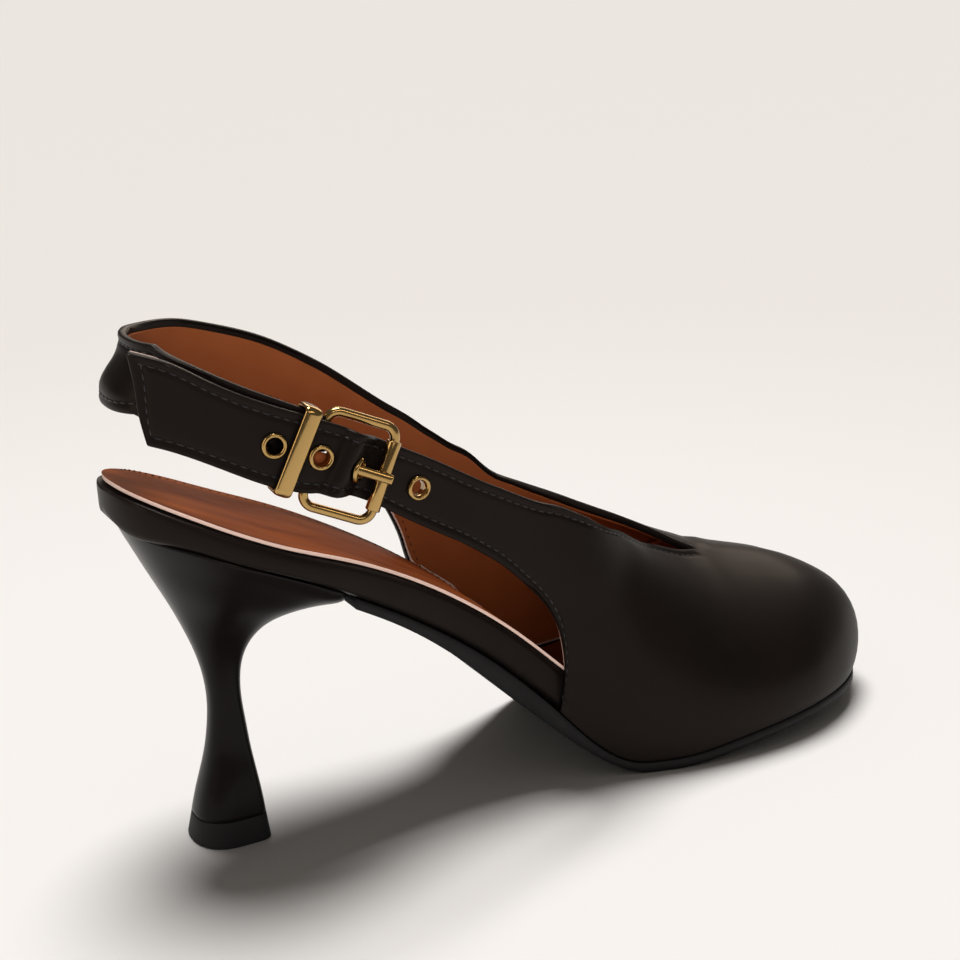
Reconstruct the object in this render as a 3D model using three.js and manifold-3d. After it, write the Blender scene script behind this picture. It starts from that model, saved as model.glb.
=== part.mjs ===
// Slingback pump for the right foot, in millimetres, +Z up and +X to the toe.
// The origin is on the floor, under the middle of the heel's tip. +Y is the inner side of the foot.
import * as THREE from 'three';
import { mergeVertices } from 'three/addons/utils/BufferGeometryUtils.js';
import Module from 'manifold-3d';

const wasm = await Module();
wasm.setup();

// Sizes of the footbed and the sole
const footbedLength = 230;
const ballWidth = 77.7;
const seatOverhang = 22.7;
const heelHeight = 97;
const toeSpring = 6.6;
const platformThickness = 11;
const outsoleThickness = 3.2;
const waistEdgeInset = 1;
const outsoleWidening = 0.05;
const insoleThickness = 1.2;
const insoleInset = 0.3;
const bulgeEndAt = 0.4;
const bulgeFade = 0.1;
const bedBulge = 1.3;
const pieceGap = 0.3;
const featherLift = 0.1;

// Sizes of the upper and its straps
const upperWall = 2;
const vampHeight = 52;
const slingRise = 43.5;
const strapSpan = 57;
const slingSetIn = 4.3;
const slingLean = 7.6;
const layerGap = 0.8;

// Sizes of the heel and its tip
const liftThickness = 7.2;
const liftLength = 20.2;
const liftWidth = 24.2;
const liftFlare = 1.7;
const liftFrontFlare = 0.5;

// Sizes of the buckle, the keeper and the eyelets
const frameLength = 21;
const frameInnerWidth = 23.9;
const frameWire = 2.2;
const frameCorner = 3.4;
const rollerWall = 0.6;
const loopWall = 0.8;
const loopLength = 17.2;
const frameDrop = 1.2;
const strapUnderLift = 0.4;
const prongWire = 2;
const prongWidth = 3;
const prongFlat = 1.35;
const prongRise = 0.3;
const keeperInnerHeight = 22;
const keeperWidth = 4.8;
const keeperPlate = 1;
const keeperSetback = 15.5;
const keeperTurn = 4.4;
const keeperLift = 0.2;
const keeperRoom = 1.5;
const eyeletOuter = 7;
const eyeletHole = 4.2;
const eyeletLip = 0.4;
const eyeletTube = 0.5;
const lipGap = 0.3;

// Places along the footbed, as shares of its length
const breastAt = 0.252;
const throatAt = 0.775;
const lateralEndAt = 0.516;
const medialEndAt = 0.438;
const strapTurnAt = 0.294;
const buckleAt = 0.25;

// How finely the curves are cut
const slabColumns = 6;
const skinColumns = 8;
const vampSteps = 15;
const toeCrowding = 1.9;
const quarterSteps = 9;
const rowStep = 0.75;
const tailSteps = 9;
const cornerSteps = 5;
const wireSides = 8;
const heelSides = 24;
const heelRings = 20;
const heelBackSquare = 2.3;
const roundSides = 16;

const mix = (a, b, t) => a + (b - a) * t;
const clamp01 = (t) => Math.min(1, Math.max(0, t));
const ease = (t) => clamp01(t) ** 2 * (3 - 2 * clamp01(t));
const xAt = (share) => footbedLength * share - seatOverhang;
const shareAt = (x) => (x + seatOverhang) / footbedLength;

// A table is written as its column names and then one row of numbers for each section
function table(columns, ...rows) {
  const names = columns.split(' ');
  return rows.map((row) => Object.fromEntries(names.map((name, i) => [name, row[i]])));
}

// A smooth curve through the rows of a table, from its first column to a named one
function curve(rows, column, key = 'at') {
  const last = rows.length - 1;
  const x = rows.map((row) => row[key]);
  const y = rows.map((row) => row[column]);
  const bend = new Array(last + 1).fill(0);
  const load = new Array(last + 1).fill(0);
  for (let i = 1; i < last; i += 1) {
    const reach = (x[i] - x[i - 1]) / (x[i + 1] - x[i - 1]);
    const pivot = reach * bend[i - 1] + 2;
    const turn = (y[i + 1] - y[i]) / (x[i + 1] - x[i]) - (y[i] - y[i - 1]) / (x[i] - x[i - 1]);
    bend[i] = (reach - 1) / pivot;
    load[i] = ((6 * turn) / (x[i + 1] - x[i - 1]) - reach * load[i - 1]) / pivot;
  }
  const second = new Array(last + 1).fill(0);
  for (let i = last - 1; i > 0; i -= 1) {
    second[i] = bend[i] * second[i + 1] + load[i];
  }
  return (at) => {
    const t = Math.min(x[last], Math.max(x[0], at));
    let i = 0;
    while (i < last - 1 && t > x[i + 1]) {
      i += 1;
    }
    const step = x[i + 1] - x[i];
    const a = (x[i + 1] - t) / step;
    const b = (t - x[i]) / step;
    const sag = ((a ** 3 - a) * second[i] + (b ** 3 - b) * second[i + 1]) * (step ** 2 / 6);
    return a * y[i] + b * y[i + 1] + sag;
  };
}

// Half widths of the footbed on each side, as shares of the ball width, before its ends are rounded
const planRows = table(
  'at lateral medial',
  [0, 0.331, 0.328],
  [0.07, 0.34, 0.344],
  [0.13, 0.376, 0.371],
  [0.2, 0.373, 0.366],
  [0.3, 0.318, 0.305],
  [0.4, 0.295, 0.273],
  [0.5, 0.323, 0.323],
  [0.6, 0.403, 0.422],
  [0.68, 0.474, 0.487],
  [0.76, 0.505, 0.496],
  [0.88, 0.508, 0.498],
  [1, 0.505, 0.496],
);

// Where each end of the plan starts to round, and how square the rounding is
const planEnds = {
  heel: { from: 0.115, power: 2 },
  lateral: { from: 0.27, power: 2.65 },
  medial: { from: 0.3, power: 2.25 },
};

// Heights along the shoe. climb is a share of the heel height, spring of the toe spring,
// depth of the platform's thickness and sole of the outsole's thickness
const profileRows = table(
  'at climb spring depth sole',
  [0, 1, 0, 1.2, 1],
  [0.05, 0.97, 0, 0.96, 1],
  [0.1, 0.918, 0, 0.89, 1],
  [0.17, 0.843, 0, 0.82, 1],
  [0.236, 0.754, 0, 0.97, 1.06],
  [0.31, 0.642, 0, 1.12, 1.16],
  [0.363, 0.552, 0, 1.21, 1.44],
  [0.416, 0.452, 0, 1.27, 2.06],
  [0.468, 0.335, 0, 1.35, 2.5],
  [0.518, 0.199, 0, 1.47, 1.97],
  [0.56, 0.08, 0, 1.5, 1.25],
  [0.585, 0.03, 0, 1.25, 1],
  [0.61, 0, 0, 1.09, 1],
  [0.67, 0, 0, 1, 1],
  [0.7, 0, 0.13, 1, 1],
  [0.75, 0, 0.41, 1, 1],
  [0.8, 0, 0.62, 1, 1],
  [0.87, 0, 0.81, 0.95, 1],
  [1, 0, 1, 0.9, 1],
);

const planShare = { lateral: curve(planRows, 'lateral'), medial: curve(planRows, 'medial') };
const profile = {
  climb: curve(profileRows, 'climb'),
  spring: curve(profileRows, 'spring'),
  depth: curve(profileRows, 'depth'),
  sole: curve(profileRows, 'sole'),
};

function halfPlan(side, share) {
  const heel = clamp01(1 - share / planEnds.heel.from);
  const toe = clamp01(1 - (1 - share) / planEnds[side].from);
  const heelRound = (1 - heel ** planEnds.heel.power) ** (1 / planEnds.heel.power);
  const toeRound = (1 - toe ** planEnds[side].power) ** (1 / planEnds[side].power);
  return ballWidth * planShare[side](share) * heelRound * toeRound;
}

// Heights over the floor of the outsole's two faces and the footbed's two faces
const soleTop = (share) => {
  const climb = Math.max(0, profile.climb(share)) * (heelHeight - outsoleThickness);
  const spring = Math.max(0, profile.spring(share)) * toeSpring;
  return outsoleThickness + climb + spring;
};
const soleUnder = (share) => Math.max(0, soleTop(share) - profile.sole(share) * outsoleThickness);
const bedUnder = (share) => soleTop(share) + pieceGap;
const seatTop = (share) => bedUnder(share) + profile.depth(share) * platformThickness;
const bedTop = (share) => seatTop(share) - insoleThickness - pieceGap;

const sideSign = { lateral: -1, medial: 1 };

// A point on the plan, moved out by a margin, which turns along the shoe over its two ends
const marginWidth = 0.2;
const marginReach = 0.1;
function planPoint(side, share, margin) {
  const half = halfPlan(side, share);
  const sideways = margin * clamp01(half / (ballWidth * marginWidth));
  const toToe = clamp01((share - 1 + marginReach) / marginReach);
  const toHeel = clamp01((marginReach - share) / marginReach);
  const forward = margin * (toToe - toHeel);
  return { x: xAt(share) + forward, y: sideSign[side] * (half + sideways) };
}

// Solids from points and faces
function geometryOf(points, faces) {
  const geometry = new THREE.BufferGeometry();
  const values = points.flatMap((point) => [point.x, point.y, point.z]);
  geometry.setAttribute('position', new THREE.Float32BufferAttribute(values, 3));
  geometry.setIndex(faces.flat());
  return solidFrom(weld(geometry));
}

// Shared corners are merged, and faces that came to nothing are left out
function weld(source) {
  const bare = source.clone();
  bare.deleteAttribute('normal');
  bare.deleteAttribute('uv');
  const merged = mergeVertices(bare, 1e-4);
  const index = merged.index.array;
  const kept = [];
  for (let i = 0; i < index.length; i += 3) {
    const [a, b, c] = [index[i], index[i + 1], index[i + 2]];
    if (a !== b && b !== c && c !== a) {
      kept.push(a, b, c);
    }
  }
  merged.setIndex(kept);
  return merged;
}

// A closed body keeps its faces pointing out
function solidFrom(geometry) {
  const position = geometry.attributes.position;
  const index = geometry.index.array;
  const [a, b, c] = [new THREE.Vector3(), new THREE.Vector3(), new THREE.Vector3()];
  let volume = 0;
  for (let i = 0; i < index.length; i += 3) {
    a.fromBufferAttribute(position, index[i]);
    b.fromBufferAttribute(position, index[i + 1]);
    c.fromBufferAttribute(position, index[i + 2]);
    volume += a.dot(b.cross(c));
  }
  if (volume < 0) {
    const turned = [];
    for (let i = 0; i < index.length; i += 3) {
      turned.push(index[i], index[i + 2], index[i + 1]);
    }
    geometry.setIndex(turned);
  }
  return geometry;
}

// Rings of points skinned into one body. Each ring's first half faces its second half,
// so an end is closed by strips between them
function loft(rings, closed = false) {
  const count = rings[0].length;
  const faces = [];
  const spans = closed ? rings.length : rings.length - 1;
  for (let i = 0; i < spans; i += 1) {
    const here = i * count;
    const next = ((i + 1) % rings.length) * count;
    for (let j = 0; j < count; j += 1) {
      const k = (j + 1) % count;
      faces.push([here + j, here + k, next + k], [here + j, next + k, next + j]);
    }
  }
  if (!closed) {
    const far = (rings.length - 1) * count;
    for (let j = 0; j < count / 2 - 1; j += 1) {
      const k = count - 1 - j;
      faces.push([j, k, k - 1], [j, k - 1, j + 1]);
      faces.push([far + j, far + k - 1, far + k], [far + j, far + j + 1, far + k - 1]);
    }
  }
  return geometryOf(rings.flat(), faces);
}

// A sheet given by its inner face, made into a body of the wall's thickness
function thicken(points, quads, wall, flatRim, floorAt) {
  const normals = points.map(() => new THREE.Vector3());
  for (const [a, b, c, d] of quads) {
    const across = points[c].clone().sub(points[a]);
    const along = points[d].clone().sub(points[b]);
    const face = across.cross(along);
    [a, b, c, d].forEach((corner) => normals[corner].add(face));
  }
  const outer = points.map((point, i) => {
    const normal = normals[i].clone();
    if (flatRim.has(i)) {
      normal.z = 0;
    }
    const moved = point.clone().addScaledVector(normal.normalize(), wall);
    moved.z = Math.max(moved.z, floorAt(moved.x));
    return moved;
  });
  const shift = points.length;
  const faces = [];
  const edges = new Map();
  for (const quad of quads) {
    const [a, b, c, d] = quad;
    faces.push([a, c, b], [a, d, c]);
    faces.push([a + shift, b + shift, c + shift], [a + shift, c + shift, d + shift]);
    quad.forEach((corner, i) => {
      const next = quad[(i + 1) % 4];
      const twin = `${next} ${corner}`;
      if (edges.has(twin)) {
        edges.delete(twin);
      } else {
        edges.set(`${corner} ${next}`, [corner, next]);
      }
    });
  }
  for (const [a, b] of edges.values()) {
    faces.push([a, b, b + shift], [a, b + shift, a + shift]);
  }
  return geometryOf([...points, ...outer], faces);
}

// Joins and cuts
function manifoldOf(geometry) {
  const bare = weld(geometry);
  const mesh = new wasm.Mesh({
    numProp: 3,
    vertProperties: new Float32Array(bare.attributes.position.array),
    triVerts: new Uint32Array(bare.index.array),
  });
  return new wasm.Manifold(mesh);
}

function geometryFrom(manifold) {
  const mesh = manifold.getMesh();
  const geometry = new THREE.BufferGeometry();
  geometry.setAttribute('position', new THREE.Float32BufferAttribute(mesh.vertProperties, 3));
  geometry.setIndex(Array.from(mesh.triVerts));
  return geometry;
}

function combined(base, added, cut) {
  let body = manifoldOf(base);
  added.forEach((geometry) => {
    body = body.add(manifoldOf(geometry));
  });
  cut.forEach((geometry) => {
    body = body.subtract(manifoldOf(geometry));
  });
  return geometryFrom(body);
}

// Shares along the slabs, closer together at the two ends and where the sole bends to the floor
const endShare = 0.0008;
const slabSpans = table(
  'from to steps',
  [0, 0.03, 5],
  [0.03, 0.13, 4],
  [0.13, 0.5, 8],
  [0.5, 0.64, 9],
  [0.64, 0.9, 5],
  [0.9, 0.98, 3],
  [0.98, 1, 4],
);
const slabShares = slabSpans.flatMap((span) => [...Array(span.steps).keys()].map((i) => {
  const share = mix(span.from, span.to, i / span.steps);
  return Math.max(endShare, share);
})).concat(1 - endShare);

// One ring of a slab. Its top and its underside each have their own squareness at the sides,
// and both are flat between the sides
const slabFlat = 1.16;
function slabRing(lateral, medial, top, under, squareTop, squareUnder) {
  const upper = [];
  const lower = [];
  const middle = (top + under) / 2;
  const half = (top - under) / 2;
  const place = (turn, square, sign) => {
    const across = -Math.sign(Math.cos(turn)) * Math.abs(Math.cos(turn)) ** (2 / square);
    const x = mix(lateral.x, medial.x, (across + 1) / 2);
    const y = mix(lateral.y, medial.y, (across + 1) / 2);
    const height = Math.min(1, slabFlat * Math.sin(turn) ** (2 / square));
    return new THREE.Vector3(x, y, middle + sign * half * height);
  };
  for (let j = 0; j <= slabColumns; j += 1) {
    const turn = (Math.PI * j) / slabColumns;
    upper.push(place(turn, squareTop, 1));
    lower.unshift(place(turn, squareUnder, -1));
  }
  return [...upper, ...lower];
}

// How square the slabs' sides are. 2 is a round edge
const squareness = { bedTop: 8, bedUnder: 6, insole: 14, outsole: 10 };

const bedEndRound = 0.025;
const bedEndDrop = 0.12;
const bedEndLift = 0.5;

// The footbed's heel end is rounded, more below than above
function footbedGeometry() {
  const bulge = (share) => bedBulge * ease((bulgeEndAt - share) / bulgeFade);
  const rings = slabShares.map((share) => {
    const end = 1 - Math.sqrt(1 - clamp01(1 - share / bedEndRound) ** 2);
    const depth = bedTop(share) - bedUnder(share);
    return slabRing(
      planPoint('lateral', share, bulge(share)),
      planPoint('medial', share, bulge(share)),
      bedTop(share) - bedEndDrop * depth * end,
      bedUnder(share) + bedEndLift * depth * end,
      squareness.bedTop,
      squareness.bedUnder,
    );
  });
  return loft(rings);
}

function insoleGeometry() {
  const rings = slabShares.map((share) => slabRing(
    planPoint('lateral', share, -insoleInset),
    planPoint('medial', share, -insoleInset),
    seatTop(share),
    seatTop(share) - insoleThickness,
    squareness.insole,
    squareness.insole,
  ));
  return loft(rings);
}

// The outsole runs from the heel's breast to the toe. It carries the upper's wall from where that starts
function outsoleGeometry() {
  const lip = upperWall + 2 * pieceGap;
  const widen = (share, end) => ease((share - end + outsoleWidening) / outsoleWidening);
  const margin = (share, end) => mix(-waistEdgeInset, lip, widen(share, end));
  const start = breastAt + pieceGap / footbedLength;
  const shares = [start, ...slabShares.filter((share) => share > start + pieceGap / footbedLength)];
  const rings = shares.map((share) => slabRing(
    planPoint('lateral', share, margin(share, lateralEndAt)),
    planPoint('medial', share, margin(share, medialEndAt)),
    soleTop(share),
    soleUnder(share),
    squareness.outsole,
    squareness.outsole,
  ));
  return loft(rings);
}

// The last that the upper is drawn over. Each section runs from the footbed's edge up to a ridge.
// reach is how far the ridge lies ahead, lift its height and tilt its climb to the inner side in degrees
const ridgeRows = table(
  'at reach lift tilt',
  [0, 0, 2.1, 0],
  [0.4, 0, 2.15, 0],
  [0.5, 0, 2.25, 0],
  [0.56, 0, 2.05, 0],
  [0.6, 0, 1.69, 3],
  [0.64, 0, 1.385, 8],
  [0.68, 0, 1.175, 15],
  [0.72, 0, 1.033, 22],
  [0.76, 0.009, 0.881, 25],
  [0.8, 0.022, 0.767, 22],
  [0.84, 0.037, 0.683, 17],
  [0.88, 0.052, 0.604, 11],
  [0.91, 0.0615, 0.521, 7],
  [0.935, 0.0645, 0.442, 4],
  [0.952, 0.067, 0.354, 2],
  [0.965, 0.0625, 0.217, 0],
  [0.97, 0.056, 0.125, 0],
  [0.975, 0.0263, 0, 0],
);
const skinEnd = 0.975;
const smallShare = 0.002;
const ridge = {
  reach: curve(ridgeRows, 'reach'),
  lift: curve(ridgeRows, 'lift'),
  tilt: curve(ridgeRows, 'tilt'),
};

// How a section leaves the footbed's edge and how wide its shoulders are
const wallHandle = 0.56;
const vampBulge = 4.4;
const vampShoulder = 0.6;
const toeHandle = 0.345;
const toeSwell = 1.7;
const fullSwellLift = 0.2;

// Over these shares the straps' plain section turns into the vamp's, and the vamp's into the toe's
const sectionTurns = {
  toe: { from: 0.87, to: skinEnd },
  bow: { from: 0.42, to: 0.56 },
  shoulder: { from: 0.45, to: 0.65 },
};
const footTurn = 0.16;
const turned = ({ from, to }, share) => ease((share - from) / (to - from));

function sectionCurve(side, share) {
  const sign = sideSign[side];
  const toe = turned(sectionTurns.toe, share);
  const foot = planPoint(side, share, pieceGap);
  const strapHalf = strapSpan / 2;
  const cutAt = side === 'lateral' ? lateralEndAt : medialEndAt;
  const bound = turned({ from: cutAt - footTurn, to: cutAt }, share);
  const base = mix(strapHalf, sign * foot.y, bound);
  const start = new THREE.Vector3(foot.x, sign * base, bedUnder(share) + featherLift);
  const lift = ridge.lift(share) * vampHeight;
  const ahead = Math.min(1, share + ridge.reach(share));
  const top = new THREE.Vector3(
    xAt(share) + ridge.reach(share) * footbedLength,
    0,
    bedUnder(ahead) + lift,
  );
  const before = planPoint(side, share - smallShare, pieceGap);
  const forward = new THREE.Vector3(foot.x - before.x, foot.y - before.y, 0).normalize();
  const bowed = mix(strapHalf, base + vampBulge, turned(sectionTurns.bow, share));
  const upright = new THREE.Vector3(0, sign * (bowed - base), wallHandle * lift);
  const straight = top.distanceTo(start);
  const swell = mix(1, toeSwell, clamp01(ridge.lift(share) / fullSwellLift));
  const leave = upright.clone().lerp(forward.multiplyScalar(swell * toeHandle * straight), toe);
  const shoulder = mix(strapHalf, vampShoulder * base, turned(sectionTurns.shoulder, share));
  const tilt = THREE.MathUtils.degToRad(ridge.tilt(share));
  const arrive = new THREE.Vector3(0, Math.cos(tilt), Math.sin(tilt));
  arrive.multiplyScalar(sign * mix(shoulder, swell * toeHandle * base, toe));
  return new THREE.CubicBezierCurve3(start, start.clone().add(leave), top.clone().add(arrive), top);
}

// Behind this place the walls turn round the heel as one curve. It leans in over the back's bulge
const turnX = xAt(strapTurnAt);
const turnPower = 2.4;
const backRows = table(
  'rise lean',
  [0.4, 0.2],
  [0.5, 0.03],
  [0.56, 0],
  [0.61, 0.09],
  [0.66, 0.3],
  [0.71, 0.55],
  [0.77, 0.77],
  [0.84, 0.9],
  [0.93, 1],
  [1.3, 1.15],
);
const backLean = curve(backRows, 'lean', 'rise');
const backEnd = slingSetIn - seatOverhang;

// A point on the last. x runs along the shoe and v from the footbed's edge (0) to the ridge (1)
function lastPoint(side, x, v, lean = 1) {
  const share = shareAt(x);
  if (x >= turnX) {
    return sectionCurve(side, share).getPoint(v);
  }
  const section = sectionCurve(side, strapTurnAt).getPoint(v);
  const lift = section.z - bedUnder(strapTurnAt);
  const rise = lift - profile.depth(share) * platformThickness;
  const round = clamp01((turnX - x) / (turnX - backEnd));
  const shift = lean * backLean(rise / slingRise) * slingLean * round ** 2;
  const width = (1 - round ** turnPower) ** (1 / turnPower);
  return new THREE.Vector3(Math.max(x, backEnd) + shift, section.y * width, bedUnder(share) + lift);
}

// The place on a section that a test picks, found by halving
const halvings = 30;
function placeWhere(test) {
  let low = 0;
  let high = 1;
  for (let i = 0; i < halvings; i += 1) {
    const middle = (low + high) / 2;
    if (test(middle)) {
      low = middle;
    } else {
      high = middle;
    }
  }
  return (low + high) / 2;
}

const placeAtRise = (side, x, rise) => {
  const height = seatTop(shareAt(x)) + rise;
  return placeWhere((v) => lastPoint(side, x, v).z < height);
};

// How much of each section the leather covers along the throat, from the sole (0) to the ridge (1)
const throatRows = table(
  'at lateral medial',
  [0.5, 0.352, 0.375],
  [0.533, 0.394, 0.4],
  [0.56, 0.448, 0.437],
  [0.586, 0.525, 0.52],
  [0.62, 0.66, 0.65],
  [0.655, 0.775, 0.76],
  [0.69, 0.87, 0.865],
  [0.725, 0.925, 0.93],
  [0.755, 0.965, 0.97],
  [0.775, 1, 1],
);
const throatStart = 0.49;
const throatBlend = 0.05;
const throatCover = { lateral: curve(throatRows, 'lateral'), medial: curve(throatRows, 'medial') };

// The edges of the upper behind the vamp, row by row from the sole's edge to the strap's end.
// top and low are places along the footbed. The two heights are over the footbed, as shares of the sling's
const lateralRows = table(
  'row top low high under',
  [0, 0.59, 0.516, 1.36, -0.375],
  [1, 0.578, 0.521, 1.29, -0.17],
  [2, 0.566, 0.523, 1.235, 0.01],
  [3, 0.554, 0.521, 1.19, 0.14],
  [4, 0.543, 0.516, 1.155, 0.25],
  [5, 0.529, 0.505, 1.12, 0.327],
  [6, 0.512, 0.49, 1.075, 0.363],
  [7, 0.49, 0.468, 1.02, 0.382],
  [8, 0.47, 0.442, 0.975, 0.4],
  [9, 0.446, 0.412, 0.935, 0.4],
  [10, 0.4245, 0.385, 0.905, 0.398],
  [11, 0.4, 0.3595, 0.885, 0.393],
  [12.5, 0.355, 0.315, 0.87, 0.4],
  [14, 0.31, 0.27, 0.862, 0.43],
  [15.5, 0.265, 0.2265, 0.868, 0.425],
  [17, 0.22, 0.18, 0.876, 0.38],
  [19, 0.16, 0.13, 0.88, 0.375],
  [21, 0.096, 0.085, 0.905, 0.393],
  [22, 0.066, 0.063, 0.935, 0.4],
  [23, 0.036, 0.046, 0.925, 0.395],
);
const medialRows = table(
  'row top low high under',
  [0, 0.535, 0.438, 1.185, -0.325],
  [1, 0.512, 0.429, 1.145, -0.16],
  [2, 0.49, 0.416, 1.115, 0],
  [3, 0.472, 0.409, 1.1, 0.136],
  [4, 0.455, 0.396, 1.09, 0.271],
  [5, 0.431, 0.379, 1.09, 0.391],
  [6, 0.403, 0.356, 1.083, 0.487],
  [7, 0.368, 0.325, 1.1, 0.575],
  [8, 0.333, 0.299, 1.13, 0.637],
  [9, 0.299, 0.273, 1.15, 0.669],
  [10, 0.255, 0.238, 1.165, 0.68],
  [11, 0.21, 0.2, 1.158, 0.68],
  [12, 0.168, 0.163, 1.135, 0.68],
  [13, 0.125, 0.122, 1.09, 0.665],
  [14, 0.085, 0.085, 1.015, 0.62],
  [15, 0.056, 0.056, 0.955, 0.575],
  [16, 0.034, 0.034, 0.915, 0.525],
);

// The sling's end on the outer side, under the strap, from the back to the buckle
const slingEndRows = table(
  'row top low high under',
  [0, 0.034, 0.034, 0.915, 0.525],
  [1, 0.043, 0.043, 0.9, 0.51],
  [2, 0.056, 0.054, 0.895, 0.49],
  [3, 0.075, 0.07, 0.895, 0.475],
  [4, 0.11, 0.093, 0.895, 0.445],
  [5, 0.152, 0.125, 0.9, 0.42],
  [6, 0.188, 0.155, 0.9, 0.405],
  [7, 0.2285, 0.1935, 0.89, 0.395],
);

// Places and distances of the buckle, measured along the strap from the frame's middle
const barSpacing = frameLength - frameWire;
const hingeAlong = -barSpacing / 2;
const frontAlong = barSpacing / 2;
const barRadius = frameWire / 2;
const hingeOut = upperWall / 2;
const loopRadius = barRadius + pieceGap + loopWall;
const rollerRadius = barRadius + pieceGap + rollerWall;
const frontOut = upperWall + strapUnderLift + pieceGap + rollerRadius;
const prongStartOut = hingeOut + prongRise;
const prongEndOut = frontOut + rollerRadius + 2 * pieceGap + prongWire / 2;
const prongSlope = (prongEndOut - prongStartOut) / barSpacing;
const prongOut = (along) => prongStartOut + prongSlope * (along - hingeAlong);
const overHinge = hingeOut + loopRadius + layerGap;
const overSling = upperWall + layerGap;

// The strap's path through the buckle: over the sling, over the hinge bar, down under the front bar
const strapPath = table(
  'at out',
  [-60, overSling + 2],
  [-48, overSling + 0.8],
  [-38, overSling],
  [-28, overSling],
  [-16, overSling],
  [-14.2, overSling + 0.05],
  [-13.3, overSling + 0.5],
  [-12.5, overHinge - 0.1],
  [-11.5, overHinge],
  [-7.2, overHinge],
  [-5.6, overHinge],
  [-4.8, overHinge + 0.7],
  [-4, overHinge + 2],
  [-3.2, overHinge + 2.75],
  [-2.4, overHinge + 2.65],
  [-1.7, overHinge + 1.93],
  [0.2, overHinge - 0.15],
  [2.6, overHinge - 2.78],
  [3.5, strapUnderLift + 0.2],
  [4.6, strapUnderLift],
  [6, strapUnderLift],
  [9.6, strapUnderLift - 0.05],
  [13, 0.25],
  [17, 0],
  [40, 0],
);
const strapOut = curve(strapPath, 'out');

// A row of an edge table, read between its rows
function edgeRows(rows) {
  const names = ['top', 'low', 'high', 'under'];
  const curves = names.map((name) => curve(rows, name, 'row'));
  return (row) => Object.fromEntries(names.map((name, i) => [name, curves[i](row)]));
}
const lateralEdge = edgeRows(lateralRows);
const medialEdge = edgeRows(medialRows);
const slingEndEdge = edgeRows(slingEndRows);

// The top edge follows its height on the straps and the throat's table on the vamp
function topPlace(side, x, high) {
  const byRise = placeAtRise(side, x, high * slingRise);
  const vamp = ease((shareAt(x) - throatStart) / throatBlend);
  return mix(byRise, throatCover[side](shareAt(x)), vamp);
}

function rowBetween(side, edge, lean) {
  const topX = xAt(edge.top);
  const lowX = xAt(edge.low);
  const topV = topPlace(side, topX, edge.high);
  const lowV = placeAtRise(side, lowX, edge.under * slingRise);
  return (w) => lastPoint(side, mix(lowX, topX, w), mix(lowV, topV, w), lean);
}

// The outer strap stands straighter than the sling under it
const strapLean = 0.2;
const smallRow = 0.03;

// The strap's middle line gives a frame for what sits on it
function strapRowPoint(row, w) {
  return rowBetween('lateral', lateralEdge(row), strapLean)(w);
}

function strapFrame(row) {
  const origin = strapRowPoint(row, 0.5);
  const ahead = strapRowPoint(row - smallRow, 0.5);
  const along = ahead.sub(strapRowPoint(row + smallRow, 0.5)).normalize();
  const across = strapRowPoint(row, 0.5 + smallRow).sub(strapRowPoint(row, 0.5 - smallRow)).normalize();
  const out = along.clone().cross(across).normalize();
  return { origin, along, out, across: out.clone().cross(along) };
}

// The row whose middle lies a given distance along the strap from the buckle's middle
const buckleRow = placeRow((row) => strapRowPoint(row, 0.5).x < xAt(buckleAt));
const buckleFrame = strapFrame(buckleRow);

function placeRow(test) {
  let low = lateralRows[0].row;
  let high = lateralRows[lateralRows.length - 1].row;
  for (let i = 0; i < halvings; i += 1) {
    const middle = (low + high) / 2;
    if (test(middle)) {
      high = middle;
    } else {
      low = middle;
    }
  }
  return (low + high) / 2;
}

const alongOf = (row) => strapRowPoint(row, 0.5).sub(buckleFrame.origin).dot(buckleFrame.along);
const rowAlong = (along) => placeRow((row) => alongOf(row) < along);

// The skin's points are gathered in rows, and neighbouring rows are joined by quads
function newSkin() {
  return { points: [], quads: [], rim: new Set() };
}

function addRow(skin, points) {
  const first = skin.points.length;
  skin.points.push(...points);
  return points.map((_, i) => first + i);
}

function joinRows(skin, here, next, turned) {
  for (let i = 0; i < here.length - 1; i += 1) {
    const quad = [here[i], here[i + 1], next[i + 1], next[i]];
    skin.quads.push(turned ? quad : quad.reverse());
  }
}

const columns = [...Array(skinColumns + 1).keys()].map((i) => i / skinColumns);

// The vamp's rows, closer together where the toe's front turns down to the sole
function vampRows(skin) {
  const rows = [];
  for (let i = 0; i <= vampSteps; i += 1) {
    const share = skinEnd - (skinEnd - throatAt) * (i / vampSteps) ** toeCrowding;
    const x = xAt(share);
    const lateral = columns.map((v) => lastPoint('lateral', x, v));
    const medial = columns.map((v) => lastPoint('medial', x, v)).reverse();
    rows.push(addRow(skin, [...lateral, ...medial.slice(1)]));
    skin.rim.add(rows[i][0]);
    skin.rim.add(rows[i][rows[i].length - 1]);
  }
  rows[0].forEach((corner) => skin.rim.add(corner));
  rows.slice(1).forEach((row, i) => joinRows(skin, rows[i], row, true));
  return rows[vampSteps];
}

// From the throat's tip to where the upper leaves the sole
function quarterRows(skin, side, from, endRow) {
  let previous = from;
  for (let i = 1; i <= quarterSteps; i += 1) {
    const t = i / quarterSteps;
    const topX = xAt(mix(throatAt, endRow.top, t));
    const lowX = xAt(mix(throatAt, endRow.low, t));
    const topV = topPlace(side, topX, endRow.high);
    const points = columns.map((w) => lastPoint(side, mix(lowX, topX, w), topV * w));
    const row = addRow(skin, points);
    skin.rim.add(row[0]);
    joinRows(skin, previous, row, side === 'lateral');
    previous = row;
  }
  return previous;
}

function outward(side, point, near) {
  const sideways = near.clone().sub(point);
  const up = new THREE.Vector3(0, 0, 1);
  const normal = sideways.cross(up).multiplyScalar(side === 'lateral' ? 1 : -1);
  return normal.normalize();
}

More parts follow.
